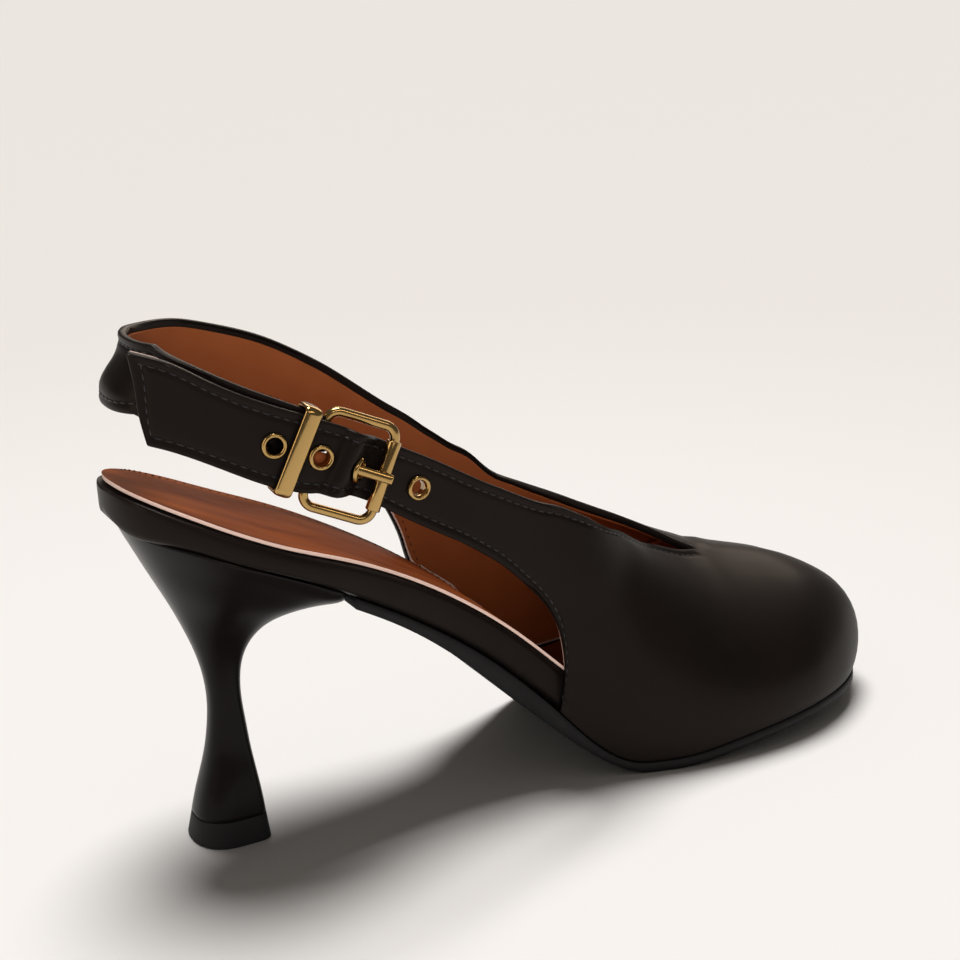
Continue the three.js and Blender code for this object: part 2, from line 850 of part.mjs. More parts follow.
// Where the outer strap takes its rows through the buckle, along it from the buckle's middle
const buckleStops = [
  15, 12, 9.5, 7.6, 6, 4.9, 4.1, 3.3,
  2.5, 1, -0.6, -2, -2.8, -3.6, -4.4, -5.2,
  -6.2, -8, -10, -11.7, -12.5, -13.3, -14.2, -16,
];
const tailFrom = -19;

function strapRows(skin, from) {
  let previous = from;
  const lastRow = lateralRows[lateralRows.length - 1].row;
  const stops = [];
  for (let row = rowStep; row < rowAlong(buckleStops[0]); row += rowStep) {
    stops.push(row);
  }
  buckleStops.forEach((along) => stops.push(rowAlong(along)));
  const tail = rowAlong(tailFrom);
  for (let i = 0; i <= tailSteps; i += 1) {
    stops.push(mix(tail, lastRow, i / tailSteps));
  }
  stops.forEach((stop) => {
    const shape = rowBetween('lateral', lateralEdge(stop), strapLean);
    const behind = rowBetween('lateral', lateralEdge(Math.min(stop + smallRow, lastRow)), strapLean);
    const ahead = rowBetween('lateral', lateralEdge(stop - smallRow), strapLean);
    const out = strapOut(alongOf(stop));
    const points = columns.map((w) => {
      const point = shape(w);
      const normal = outward('lateral', behind(w), ahead(w));
      return point.addScaledVector(normal, out);
    });
    const row = addRow(skin, points);
    joinRows(skin, previous, row, true);
    previous = row;
  });
}

// Half widths of the sling's level rows across the back, as shares of half the strap's span
const backWidths = [0.3, 0.1, -0.1, -0.3];

// The inner quarter and the sling, round the heel to the buckle's hinge
function slingRows(skin, from) {
  let previous = from;
  const take = (side, edge) => {
    const row = addRow(skin, columns.map(rowBetween(side, edge, 1)));
    joinRows(skin, previous, row, false);
    previous = row;
  };
  const medialEnd = medialRows[medialRows.length - 1].row;
  for (let row = rowStep; row <= medialEnd - rowStep; row += rowStep) {
    take('medial', medialEdge(row));
  }
  take('medial', medialEdge(medialEnd));
  backWidths.forEach((width) => {
    const round = (1 - Math.abs(width) ** turnPower) ** (1 / turnPower);
    const at = shareAt(mix(turnX, backEnd, round));
    const climb = (seatTop(at) - seatTop(slingEndRows[0].top)) / slingRise;
    const edge = slingEndEdge(0);
    const row = { top: at, low: at, high: edge.high - climb, under: edge.under - climb };
    take(width > 0 ? 'medial' : 'lateral', row);
  });
  const slingEnd = slingEndRows[slingEndRows.length - 1].row;
  for (let row = 0; row <= slingEnd; row += rowStep) {
    take('lateral', slingEndEdge(row));
  }
  take('lateral', slingEndEdge(slingEnd));
}

// Pieces along the buckle's axes: X along the strap to the toe, Y across it and Z out of it
function basisOf(frame, drop = 0) {
  const basis = new THREE.Matrix4().makeBasis(frame.along, frame.across, frame.out);
  return basis.setPosition(frame.origin.clone().addScaledVector(frame.across, -drop));
}

function barCylinder(radius, length, along, out) {
  return new THREE.CylinderGeometry(radius, radius, length, roundSides).translate(along, 0, out);
}

function boxAt(size, along, out) {
  return new THREE.BoxGeometry(size.along, size.across, size.out).translate(along, 0, out);
}

// Eyelets sit at these distances along the strap. The third one holds the prong, on the strap's steep part
const eyelets = [
  { name: 'eyelet_1', along: -21.6, drop: 0 },
  { name: 'eyelet_2', along: -9.35, drop: 0 },
  { name: 'eyelet_3', along: -0.1, drop: frameDrop },
  { name: 'eyelet_4', along: 22.1, drop: 0 },
];

const slopeStep = 0.4;

// The eyelet's frame on the strap's inner face, turned with the strap's slope
function eyeletFrame({ along, drop }) {
  const base = strapFrame(rowAlong(along));
  const slope = (strapOut(along + slopeStep) - strapOut(along - slopeStep)) / (2 * slopeStep);
  const lean = Math.atan(slope);
  const turned = base.along.clone().multiplyScalar(Math.cos(lean)).addScaledVector(base.out, Math.sin(lean));
  const out = turned.clone().cross(base.across).normalize();
  const origin = base.origin.clone().addScaledVector(base.out, strapOut(along));
  origin.addScaledVector(base.across, -drop);
  return { origin, along: turned, out, across: base.across };
}

function holeCutter(eyelet) {
  const radius = eyeletHole / 2 + eyeletTube + pieceGap;
  const depth = upperWall * 4;
  const cutter = new THREE.CylinderGeometry(radius, radius, depth, roundSides).rotateX(Math.PI / 2);
  return cutter.translate(0, 0, upperWall / 2).applyMatrix4(basisOf(eyeletFrame(eyelet)));
}

function upperGeometry() {
  const skin = newSkin();
  const throat = vampRows(skin);
  const lateral = quarterRows(skin, 'lateral', throat.slice(0, skinColumns + 1), lateralRows[0]);
  strapRows(skin, lateral);
  const medialStart = throat.slice(skinColumns).reverse();
  const medial = quarterRows(skin, 'medial', medialStart, medialRows[0]);
  slingRows(skin, medial);
  const floorAt = (x) => bedUnder(clamp01(shareAt(x))) + featherLift;
  const shell = thicken(skin.points, skin.quads, upperWall, skin.rim, floorAt);
  const toBuckle = basisOf(buckleFrame, frameDrop);
  const loop = barCylinder(loopRadius, loopLength, hingeAlong, hingeOut).applyMatrix4(toBuckle);
  const boreLength = frameInnerWidth + 2 * frameWire;
  const bore = barCylinder(barRadius + pieceGap, boreLength, hingeAlong, hingeOut).applyMatrix4(toBuckle);
  const notchSize = {
    along: 2 * (loopRadius + pieceGap),
    across: prongWidth + 2 * pieceGap,
    out: 2 * (loopRadius + pieceGap),
  };
  const notch = boxAt(notchSize, hingeAlong, hingeOut).applyMatrix4(toBuckle);
  const holes = eyelets.map(holeCutter);
  return combined(shell, [loop], [bore, notch, ...holes]);
}

// The heel narrows to a neck and flares to its tip. back and front are shares of the lift's length,
// half of the lift's width, tilt how much a ring follows the seat, and square how flat its breast is
const heelRows = table(
  'at back front half tilt square',
  [0, -0.405, 0.525, 0.43, 0, 6],
  [0.065, -0.335, 0.515, 0.4, 0, 5],
  [0.15, -0.23, 0.488, 0.345, 0, 4],
  [0.24, -0.135, 0.46, 0.275, 0, 3.2],
  [0.33, -0.072, 0.44, 0.236, 0, 2.7],
  [0.42, -0.043, 0.418, 0.219, 0, 2.5],
  [0.51, -0.067, 0.433, 0.23, 0.06, 2.5],
  [0.59, -0.139, 0.5, 0.281, 0.2, 2.7],
  [0.67, -0.264, 0.645, 0.388, 0.42, 3],
  [0.75, -0.437, 0.865, 0.562, 0.66, 3.4],
  [0.83, -0.643, 1.14, 0.787, 0.85, 4.2],
  [0.91, -0.83, 1.5, 0.99, 0.96, 5],
  [0.965, -0.945, 1.73, 1.13, 1, 5.5],
  [1, -1, 1.75, 1.2, 1, 6],
);

const heelMiddle = 0.55;

// A heel's cross-section: flat at the breast, to the toe, and round at the back
function heelRing(back, front, half, square, levelAt) {
  const centre = mix(back, front, heelMiddle);
  const ring = [];
  for (let j = 0; j < heelSides; j += 1) {
    const turn = (2 * Math.PI * (j + 0.5)) / heelSides;
    const ahead = Math.cos(turn) > 0;
    const power = 2 / (ahead ? square : heelBackSquare);
    const reach = ahead ? front - centre : back - centre;
    const x = centre + reach * Math.abs(Math.cos(turn)) ** power;
    const y = Math.sign(Math.sin(turn)) * half * Math.abs(Math.sin(turn)) ** power;
    ring.push(new THREE.Vector3(x, y, levelAt(x, centre)));
  }
  return ring;
}

function heelGeometry() {
  const names = ['back', 'front', 'half', 'tilt', 'square'];
  const shape = Object.fromEntries(names.map((name) => [name, curve(heelRows, name)]));
  const bottom = liftThickness + pieceGap;
  const topLevel = soleTop(breastAt / 2);
  const rings = [];
  for (let i = 0; i <= heelRings; i += 1) {
    const at = i / heelRings;
    const tilt = clamp01(shape.tilt(at));
    const level = mix(bottom, topLevel, at);
    const levelAt = (x, centre) => {
      const seat = soleTop(clamp01(shareAt(x)));
      const middle = soleTop(shareAt(centre));
      return level + tilt * (seat - middle + at * (middle - topLevel));
    };
    const front = Math.min(shape.front(at) * liftLength, xAt(breastAt));
    rings.push(heelRing(
      shape.back(at) * liftLength,
      front,
      shape.half(at) * liftWidth,
      shape.square(at),
      levelAt,
    ));
  }
  return loft(rings);
}

function liftGeometry() {
  const start = heelRows[0];
  const rings = [0, 1].map((at) => heelRing(
    start.back * liftLength - liftFlare * (1 - at),
    start.front * liftLength + liftFrontFlare * (1 - at),
    start.half * liftWidth + liftFlare * (1 - at),
    start.square,
    () => at * liftThickness,
  ));
  return loft(rings);
}

// A wire swept round a closed path of points in the buckle's own axes
function closedWire(path, radius) {
  const rings = path.map((point, i) => {
    const before = path[(i + path.length - 1) % path.length];
    const after = path[(i + 1) % path.length];
    const tangent = after.clone().sub(before).normalize();
    const up = new THREE.Vector3(0, 0, 1);
    const side = tangent.clone().cross(up).normalize();
    const lift = side.clone().cross(tangent).normalize();
    const ring = [];
    for (let j = 0; j < wireSides; j += 1) {
      const turn = (2 * Math.PI * j) / wireSides;
      const spoke = side.clone().multiplyScalar(Math.cos(turn)).addScaledVector(lift, Math.sin(turn));
      ring.push(point.clone().addScaledVector(spoke, radius));
    }
    return ring;
  });
  return loft(rings, true);
}

// A rectangle with round corners, as points that run once round it
function roundedPath(halfAlong, halfAcross, corner, outAt) {
  const path = [];
  const corners = [[1, 1], [-1, 1], [-1, -1], [1, -1]];
  corners.forEach(([a, b], quarter) => {
    for (let i = 0; i <= cornerSteps; i += 1) {
      const turn = (Math.PI / 2) * (quarter + i / cornerSteps);
      const along = a * (halfAlong - corner) + corner * Math.cos(turn);
      const across = b * (halfAcross - corner) + corner * Math.sin(turn);
      path.push(new THREE.Vector3(along, across, outAt(along)));
    }
  });
  return path;
}

function frameGeometry() {
  const outAt = (along) => mix(hingeOut, frontOut, (along - hingeAlong) / barSpacing);
  const path = roundedPath(barSpacing / 2, frameInnerWidth / 2 + barRadius, frameCorner, outAt);
  return closedWire(path, barRadius);
}

function ringOf(inner, outer, length) {
  const half = length / 2;
  const profilePoints = [
    new THREE.Vector2(inner, -half),
    new THREE.Vector2(outer, -half),
    new THREE.Vector2(outer, half),
    new THREE.Vector2(inner, half),
    new THREE.Vector2(inner, -half),
  ];
  return solidFrom(weld(new THREE.LatheGeometry(profilePoints, roundSides)));
}

function rollerGeometry() {
  const length = frameInnerWidth - 2 * frameCorner + frameWire;
  const ring = ringOf(barRadius + pieceGap, rollerRadius, length);
  return ring.translate(frontAlong, 0, frontOut);
}

function prongGeometry() {
  const bore = barRadius + pieceGap;
  const eye = ringOf(bore, loopRadius - pieceGap, prongWidth);
  eye.translate(hingeAlong, 0, hingeOut);
  const start = new THREE.Vector3(hingeAlong + barRadius, 0, prongStartOut);
  const endAlong = frontAlong + rollerRadius / 2;
  const end = new THREE.Vector3(endAlong, 0, prongOut(endAlong));
  const rod = new THREE.CylinderGeometry(prongWire / 2, prongWire / 2, start.distanceTo(end), wireSides);
  rod.scale(prongFlat, 1, 1).rotateZ(-Math.PI / 2).rotateY(-Math.atan(prongSlope));
  const middle = start.clone().add(end).multiplyScalar(0.5);
  rod.translate(middle.x, middle.y, middle.z);
  return combined(eye, [rod], [barCylinder(bore, prongWidth * 2, hingeAlong, hingeOut)]);
}

// The keeper is a flat plate bent into a closed loop round the sling and the strap
function keeperGeometry() {
  const inside = { across: keeperInnerHeight, out: 2 * upperWall + layerGap + keeperRoom };
  const shape = new THREE.Shape();
  const outerAcross = inside.across / 2 + keeperPlate;
  const outerOut = inside.out / 2 + keeperPlate;
  shape.moveTo(-outerAcross, -outerOut);
  shape.lineTo(outerAcross, -outerOut);
  shape.lineTo(outerAcross, outerOut);
  shape.lineTo(-outerAcross, outerOut);
  shape.closePath();
  const hole = new THREE.Path();
  hole.moveTo(-inside.across / 2, -inside.out / 2);
  hole.lineTo(-inside.across / 2, inside.out / 2);
  hole.lineTo(inside.across / 2, inside.out / 2);
  hole.lineTo(inside.across / 2, -inside.out / 2);
  hole.closePath();
  shape.holes.push(hole);
  const plate = new THREE.ExtrudeGeometry(shape, { depth: keeperWidth, bevelEnabled: false });
  plate.translate(0, 0, -keeperWidth / 2);
  const turn = new THREE.Matrix4().makeBasis(
    new THREE.Vector3(0, 1, 0),
    new THREE.Vector3(0, 0, 1),
    new THREE.Vector3(1, 0, 0),
  );
  plate.applyMatrix4(turn);
  plate.rotateZ(-THREE.MathUtils.degToRad(keeperTurn));
  plate.translate(0, 0, upperWall + layerGap / 2 + keeperLift);
  return solidFrom(weld(plate));
}

// An eyelet is a tube through the strap with a lip over each face
function eyeletGeometry() {
  const inner = eyeletHole / 2;
  const tube = inner + eyeletTube;
  const lip = eyeletOuter / 2;
  const front = upperWall + lipGap;
  const crown = front + 2 * eyeletLip;
  const points = [
    [inner, -lipGap - eyeletTube / 2],
    [tube + pieceGap, -lipGap - eyeletTube / 2],
    [tube + pieceGap, -lipGap],
    [tube, -lipGap],
    [tube, front],
    [lip, front],
    [lip - eyeletLip, crown],
    [tube, crown],
    [inner, front + eyeletLip],
    [inner, -lipGap - eyeletTube / 2],
  ].map(([radius, height]) => new THREE.Vector2(radius, height));
  return solidFrom(weld(new THREE.LatheGeometry(points, roundSides))).rotateX(Math.PI / 2);
}

// Finishes, with the colours of the real pieces
const finishes = {
  leather: new THREE.MeshStandardMaterial({ color: '#17151a', roughness: 0.42, metalness: 0 }),
  lining: new THREE.MeshStandardMaterial({ color: '#9a5530', roughness: 0.62, metalness: 0 }),
  heel: new THREE.MeshStandardMaterial({ color: '#100f11', roughness: 0.22, metalness: 0 }),
  rubber: new THREE.MeshStandardMaterial({ color: '#1a1a1b', roughness: 0.6, metalness: 0 }),
  gold: new THREE.MeshStandardMaterial({ color: '#c9a468', roughness: 0.22, metalness: 1 }),
};

function named(name, geometry, finish) {
  const mesh = new THREE.Mesh(geometry, finishes[finish].clone());
  mesh.name = name;
  return mesh;
}

function placedGroup(matrix, meshes) {
  const group = new THREE.Group();
  matrix.decompose(group.position, group.quaternion, group.scale);
  group.add(...meshes);
  return group;
}

const pump = new THREE.Group();
pump.add(named('outsole', outsoleGeometry(), 'rubber'));
pump.add(named('footbed', footbedGeometry(), 'leather'));
pump.add(named('insole', insoleGeometry(), 'lining'));
pump.add(named('upper', upperGeometry(), 'leather'));
pump.add(named('heel', heelGeometry(), 'heel'));
pump.add(named('top_lift', liftGeometry(), 'rubber'));
pump.add(placedGroup(basisOf(buckleFrame, frameDrop), [
  named('buckle_frame', frameGeometry(), 'gold'),
  named('roller', rollerGeometry(), 'gold'),
  named('prong', prongGeometry(), 'gold'),
]));
const keeperFrame = strapFrame(rowAlong(-keeperSetback));
pump.add(placedGroup(basisOf(keeperFrame), [named('keeper', keeperGeometry(), 'gold')]));
eyelets.forEach((eyelet) => {
  pump.add(placedGroup(basisOf(eyeletFrame(eyelet)), [named(eyelet.name, eyeletGeometry(), 'gold')]));
});

export default pump;
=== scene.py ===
"""A right foot's black slingback pump with a gold buckle, dressed for a studio picture."""

import math
from bisect import bisect_right
from functools import lru_cache

import bmesh
import bpy
from bpy.props import FloatProperty, FloatVectorProperty, PointerProperty
from mathutils import Matrix, Vector


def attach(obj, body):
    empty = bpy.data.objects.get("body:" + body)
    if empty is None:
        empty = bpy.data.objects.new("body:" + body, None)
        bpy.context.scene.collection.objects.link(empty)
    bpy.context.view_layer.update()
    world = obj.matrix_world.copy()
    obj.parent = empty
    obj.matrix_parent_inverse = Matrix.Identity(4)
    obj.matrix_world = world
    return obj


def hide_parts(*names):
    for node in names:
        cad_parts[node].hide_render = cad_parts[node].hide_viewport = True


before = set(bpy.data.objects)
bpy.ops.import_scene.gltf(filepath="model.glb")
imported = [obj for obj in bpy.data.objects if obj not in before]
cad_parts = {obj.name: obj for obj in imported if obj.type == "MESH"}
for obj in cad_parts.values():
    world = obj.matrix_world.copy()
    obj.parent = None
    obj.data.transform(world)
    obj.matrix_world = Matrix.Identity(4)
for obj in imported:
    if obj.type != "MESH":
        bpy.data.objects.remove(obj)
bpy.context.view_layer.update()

bl_info = {
    "name": "Slingback pump",
    "version": (1, 0, 0),
    "blender": (4, 5, 0),
    "location": "View3D > Sidebar > Pump",
    "description": "Dresses the solids of a slingback pump with leather, lining, thread and gold fittings",
    "category": "Object",
}

MM = 0.001


def linear(hex_colour):
    """An sRGB hex colour as linear red, green, blue and full alpha."""
    parts = [int(hex_colour[i : i + 2], 16) / 255 for i in (1, 3, 5)]
    turned = [c / 12.92 if c <= 0.04045 else ((c + 0.055) / 1.055) ** 2.4 for c in parts]
    return (*turned, 1.0)


# Sizes of the solids, in millimetres, from the same named values as the solids have
BED_LENGTH = 230.0
BALL_WIDTH = 77.7
SEAT_OVERHANG = 22.7
HEEL_HEIGHT = 97.0
TOE_SPRING = 6.6
PLATFORM = 11.0
SOLE = 3.2
EDGE_INSET = 1.0
SOLE_WIDENING = 0.05
INSOLE = 1.2
INSOLE_INSET = 0.3
BED_BULGE = 1.3
BULGE_END = 0.4
BULGE_FADE = 0.1
GAP = 0.3
FEATHER_LIFT = 0.1
WALL = 2.0
VAMP_HEIGHT = 52.0
SLING_RISE = 43.5
STRAP_SPAN = 57.0
SLING_SET_IN = 4.3
SLING_LEAN = 7.6
LAYER_GAP = 0.8
LIFT = 7.2
LIFT_LENGTH = 20.2
LIFT_WIDTH = 24.2
LIFT_FLARE = 1.7
LIFT_FRONT_FLARE = 0.5
BREAST_AT = 0.252
THROAT_AT = 0.775
LATERAL_END = 0.516
MEDIAL_END = 0.438
STRAP_TURN = 0.294
BUCKLE_AT = 0.25
SKIN_END = 0.975


def mix(a, b, t):
    return a + (b - a) * t


def clamp01(t):
    return min(1.0, max(0.0, t))


def ease(t):
    t = clamp01(t)
    return t * t * (3 - 2 * t)


def x_at(share):
    return BED_LENGTH * share - SEAT_OVERHANG


def share_at(x):
    return (x + SEAT_OVERHANG) / BED_LENGTH


def table(columns, *rows):
    """Rows of numbers under named columns."""
    names = columns.split()
    return [dict(zip(names, row)) for row in rows]


def curve(rows, column, key="at"):
    """A smooth curve through the rows of a table, from its first column to a named one."""
    x = [row[key] for row in rows]
    y = [row[column] for row in rows]
    last = len(rows) - 1
    bend = [0.0] * (last + 1)
    load = [0.0] * (last + 1)
    for i in range(1, last):
        reach = (x[i] - x[i - 1]) / (x[i + 1] - x[i - 1])
        pivot = reach * bend[i - 1] + 2
        turn = (y[i + 1] - y[i]) / (x[i + 1] - x[i]) - (y[i] - y[i - 1]) / (x[i] - x[i - 1])
        bend[i] = (reach - 1) / pivot
        load[i] = ((6 * turn) / (x[i + 1] - x[i - 1]) - reach * load[i - 1]) / pivot
    second = [0.0] * (last + 1)
    for i in range(last - 1, 0, -1):
        second[i] = bend[i] * second[i + 1] + load[i]

    def read(at):
        t = min(x[last], max(x[0], at))
        i = min(last - 1, max(0, bisect_right(x, t) - 1))
        step = x[i + 1] - x[i]
        a = (x[i + 1] - t) / step
        b = (t - x[i]) / step
        sag = ((a**3 - a) * second[i] + (b**3 - b) * second[i + 1]) * (step**2 / 6)
        return a * y[i] + b * y[i + 1] + sag

    return read


# Half widths of the footbed on each side, as shares of the ball width
PLAN = table(
    "at lateral medial",
    (0, 0.331, 0.328),
    (0.07, 0.34, 0.344),
    (0.13, 0.376, 0.371),
    (0.2, 0.373, 0.366),
    (0.3, 0.318, 0.305),
    (0.4, 0.295, 0.273),
    (0.5, 0.323, 0.323),
    (0.6, 0.403, 0.422),
    (0.68, 0.474, 0.487),
    (0.76, 0.505, 0.496),
    (0.88, 0.508, 0.498),
    (1, 0.505, 0.496),
)
PLAN_ENDS = {"heel": (0.115, 2.0), "lateral": (0.27, 2.65), "medial": (0.3, 2.25)}

# Heights along the shoe: climb of the heel height, spring of the toe spring,
# depth of the platform's thickness and sole of the outsole's thickness
PROFILE = table(
    "at climb spring depth sole",
    (0, 1, 0, 1.2, 1),
    (0.05, 0.97, 0, 0.96, 1),
    (0.1, 0.918, 0, 0.89, 1),
    (0.17, 0.843, 0, 0.82, 1),
    (0.236, 0.754, 0, 0.97, 1.06),
    (0.31, 0.642, 0, 1.12, 1.16),
    (0.363, 0.552, 0, 1.21, 1.44),
    (0.416, 0.452, 0, 1.27, 2.06),
    (0.468, 0.335, 0, 1.35, 2.5),
    (0.518, 0.199, 0, 1.47, 1.97),
    (0.56, 0.08, 0, 1.5, 1.25),
    (0.585, 0.03, 0, 1.25, 1),
    (0.61, 0, 0, 1.09, 1),
    (0.67, 0, 0, 1, 1),
    (0.7, 0, 0.13, 1, 1),
    (0.75, 0, 0.41, 1, 1),
    (0.8, 0, 0.62, 1, 1),
    (0.87, 0, 0.81, 0.95, 1),
    (1, 0, 1, 0.9, 1),
)
plan_share = {side: curve(PLAN, side) for side in ("lateral", "medial")}
profile = {name: curve(PROFILE, name) for name in ("climb", "spring", "depth", "sole")}
SIGN = {"lateral": -1, "medial": 1}


@lru_cache(maxsize=None)
def half_plan(side, share):
    heel_from, heel_power = PLAN_ENDS["heel"]
    toe_from, toe_power = PLAN_ENDS[side]
    heel = clamp01(1 - share / heel_from)
    toe = clamp01(1 - (1 - share) / toe_from)
    heel_round = (1 - heel**heel_power) ** (1 / heel_power)
    toe_round = (1 - toe**toe_power) ** (1 / toe_power)
    return BALL_WIDTH * plan_share[side](share) * heel_round * toe_round


def plain_sole_top(share):
    climb = max(0, profile["climb"](share)) * (HEEL_HEIGHT - SOLE)
    spring = max(0, profile["spring"](share)) * TOE_SPRING
    return SOLE + climb + spring


BEND_REACH = 0.018


@lru_cache(maxsize=None)
def sole_top(share):
    """The sole's height, with its bend to the floor a little rounded."""
    around = [plain_sole_top(share + BEND_REACH * k / 2) for k in (-2, -1, 0, 1, 2)]
    bend = ease((share - 0.5) / 0.04) * ease((0.72 - share) / 0.06)
    return mix(plain_sole_top(share), sum(around) / len(around), bend)


def sole_under(share):
    return max(0, sole_top(share) - profile["sole"](share) * SOLE)


def bed_under(share):
    return sole_top(share) + GAP


def seat_top(share):
    return bed_under(share) + profile["depth"](share) * PLATFORM


def bed_top(share):
    return seat_top(share) - INSOLE - GAP


MARGIN_WIDTH = 0.2
MARGIN_REACH = 0.1


def plan_point(side, share, margin):
    """A point on the plan, moved out by a margin that turns along the shoe over its ends."""
    half = half_plan(side, share)
    sideways = margin * clamp01(half / (BALL_WIDTH * MARGIN_WIDTH))
    to_toe = clamp01((share - 1 + MARGIN_REACH) / MARGIN_REACH)
    to_heel = clamp01((MARGIN_REACH - share) / MARGIN_REACH)
    return x_at(share) + margin * (to_toe - to_heel), SIGN[side] * (half + sideways)


# The last. Each section runs from the footbed's edge up to a ridge
RIDGE = table(
    "at reach lift tilt",
    (0, 0, 2.1, 0),
    (0.4, 0, 2.15, 0),
    (0.5, 0, 2.25, 0),
    (0.56, 0, 2.05, 0),
    (0.6, 0, 1.69, 3),
    (0.64, 0, 1.385, 8),
    (0.68, 0, 1.175, 15),
    (0.72, 0, 1.033, 22),
    (0.76, 0.009, 0.881, 25),
    (0.8, 0.022, 0.767, 22),
    (0.84, 0.037, 0.683, 17),
    (0.88, 0.052, 0.604, 11),
    (0.91, 0.0615, 0.521, 7),
    (0.935, 0.0645, 0.442, 4),
    (0.952, 0.067, 0.354, 2),
    (0.965, 0.0625, 0.217, 0),
    (0.97, 0.056, 0.125, 0),
    (0.975, 0.0263, 0, 0),
)
ridge = {name: curve(RIDGE, name) for name in ("reach", "lift", "tilt")}
WALL_HANDLE = 0.56
VAMP_BULGE = 4.4
VAMP_SHOULDER = 0.6
TOE_HANDLE = 0.345
TOE_SWELL = 1.7
FULL_SWELL_LIFT = 0.2
SECTION_TURNS = {"toe": (0.87, SKIN_END), "bow": (0.42, 0.56), "shoulder": (0.45, 0.65)}
FOOT_TURN = 0.16
SMALL_SHARE = 0.002


def turned(span, share):
    return ease((share - span[0]) / (span[1] - span[0]))


@lru_cache(maxsize=None)
def section(side, share):
    """The four handles of one section of the last."""
    sign = SIGN[side]
    toe = turned(SECTION_TURNS["toe"], share)
    foot_x, foot_y = plan_point(side, share, GAP)
    strap_half = STRAP_SPAN / 2
    cut_at = LATERAL_END if side == "lateral" else MEDIAL_END
    base = mix(strap_half, sign * foot_y, turned((cut_at - FOOT_TURN, cut_at), share))
    start = Vector((foot_x, sign * base, bed_under(share) + FEATHER_LIFT))
    lift = ridge["lift"](share) * VAMP_HEIGHT
    ahead = min(1, share + ridge["reach"](share))
    top = Vector((x_at(share) + ridge["reach"](share) * BED_LENGTH, 0, bed_under(ahead) + lift))
    before_x, before_y = plan_point(side, share - SMALL_SHARE, GAP)
    forward = Vector((foot_x - before_x, foot_y - before_y, 0)).normalized()
    bowed = mix(strap_half, base + VAMP_BULGE, turned(SECTION_TURNS["bow"], share))
    upright = Vector((0, sign * (bowed - base), WALL_HANDLE * lift))
    straight = (top - start).length
    swell = mix(1, TOE_SWELL, clamp01(ridge["lift"](share) / FULL_SWELL_LIFT))
    leave = upright.lerp(forward * (swell * TOE_HANDLE * straight), toe)
    shoulder = mix(strap_half, VAMP_SHOULDER * base, turned(SECTION_TURNS["shoulder"], share))
    tilt = math.radians(ridge["tilt"](share))
    arrive = Vector((0, math.cos(tilt), math.sin(tilt)))
    arrive *= sign * mix(shoulder, swell * TOE_HANDLE * base, toe)
    return start, start + leave, top + arrive, top


def section_point(side, share, v):
    a, b, c, d = section(side, share)
    u = 1 - v
    return a * u**3 + b * (3 * u * u * v) + c * (3 * u * v * v) + d * v**3


TURN_X = x_at(STRAP_TURN)
TURN_POWER = 2.4
BACK = table(
    "rise lean",
    (0.4, 0.2),
    (0.5, 0.03),
    (0.56, 0),
    (0.61, 0.09),
    (0.66, 0.3),
    (0.71, 0.55),
    (0.77, 0.77),
    (0.84, 0.9),
    (0.93, 1),
    (1.3, 1.15),
)
back_lean = curve(BACK, "lean", "rise")
BACK_END = SLING_SET_IN - SEAT_OVERHANG


def last_point(side, x, v, lean=1.0):
    """A point on the last: x runs along the shoe and v from the footbed's edge to the ridge."""
    share = share_at(x)
    if x >= TURN_X:
        return section_point(side, share, v)
    at_turn = section_point(side, STRAP_TURN, v)
    lift = at_turn.z - bed_under(STRAP_TURN)
    rise = lift - profile["depth"](share) * PLATFORM
    turning = clamp01((TURN_X - x) / (TURN_X - BACK_END))
    shift = lean * back_lean(rise / SLING_RISE) * SLING_LEAN * turning**2
    width = (1 - turning**TURN_POWER) ** (1 / TURN_POWER)
    return Vector((max(x, BACK_END) + shift, at_turn.y * width, bed_under(share) + lift))


HALVINGS = 24


@lru_cache(maxsize=None)
def place_at_rise(side, x, rise):
    """The place on a section at a height over the footbed, found by halving."""
    height = seat_top(share_at(x)) + rise
    low, high = 0.0, 1.0
    for _ in range(HALVINGS):
        middle = (low + high) / 2
        if last_point(side, x, middle).z < height:
            low = middle
        else:
            high = middle
    return (low + high) / 2


THROAT = table(
    "at lateral medial",
    (0.5, 0.352, 0.375),
    (0.533, 0.394, 0.4),
    (0.56, 0.448, 0.437),
    (0.586, 0.525, 0.52),
    (0.62, 0.66, 0.65),
    (0.655, 0.775, 0.76),
    (0.69, 0.87, 0.865),
    (0.725, 0.925, 0.93),
    (0.755, 0.965, 0.97),
    (0.775, 1, 1),
)
THROAT_START = 0.49
THROAT_BLEND = 0.05
throat_cover = {side: curve(THROAT, side) for side in ("lateral", "medial")}

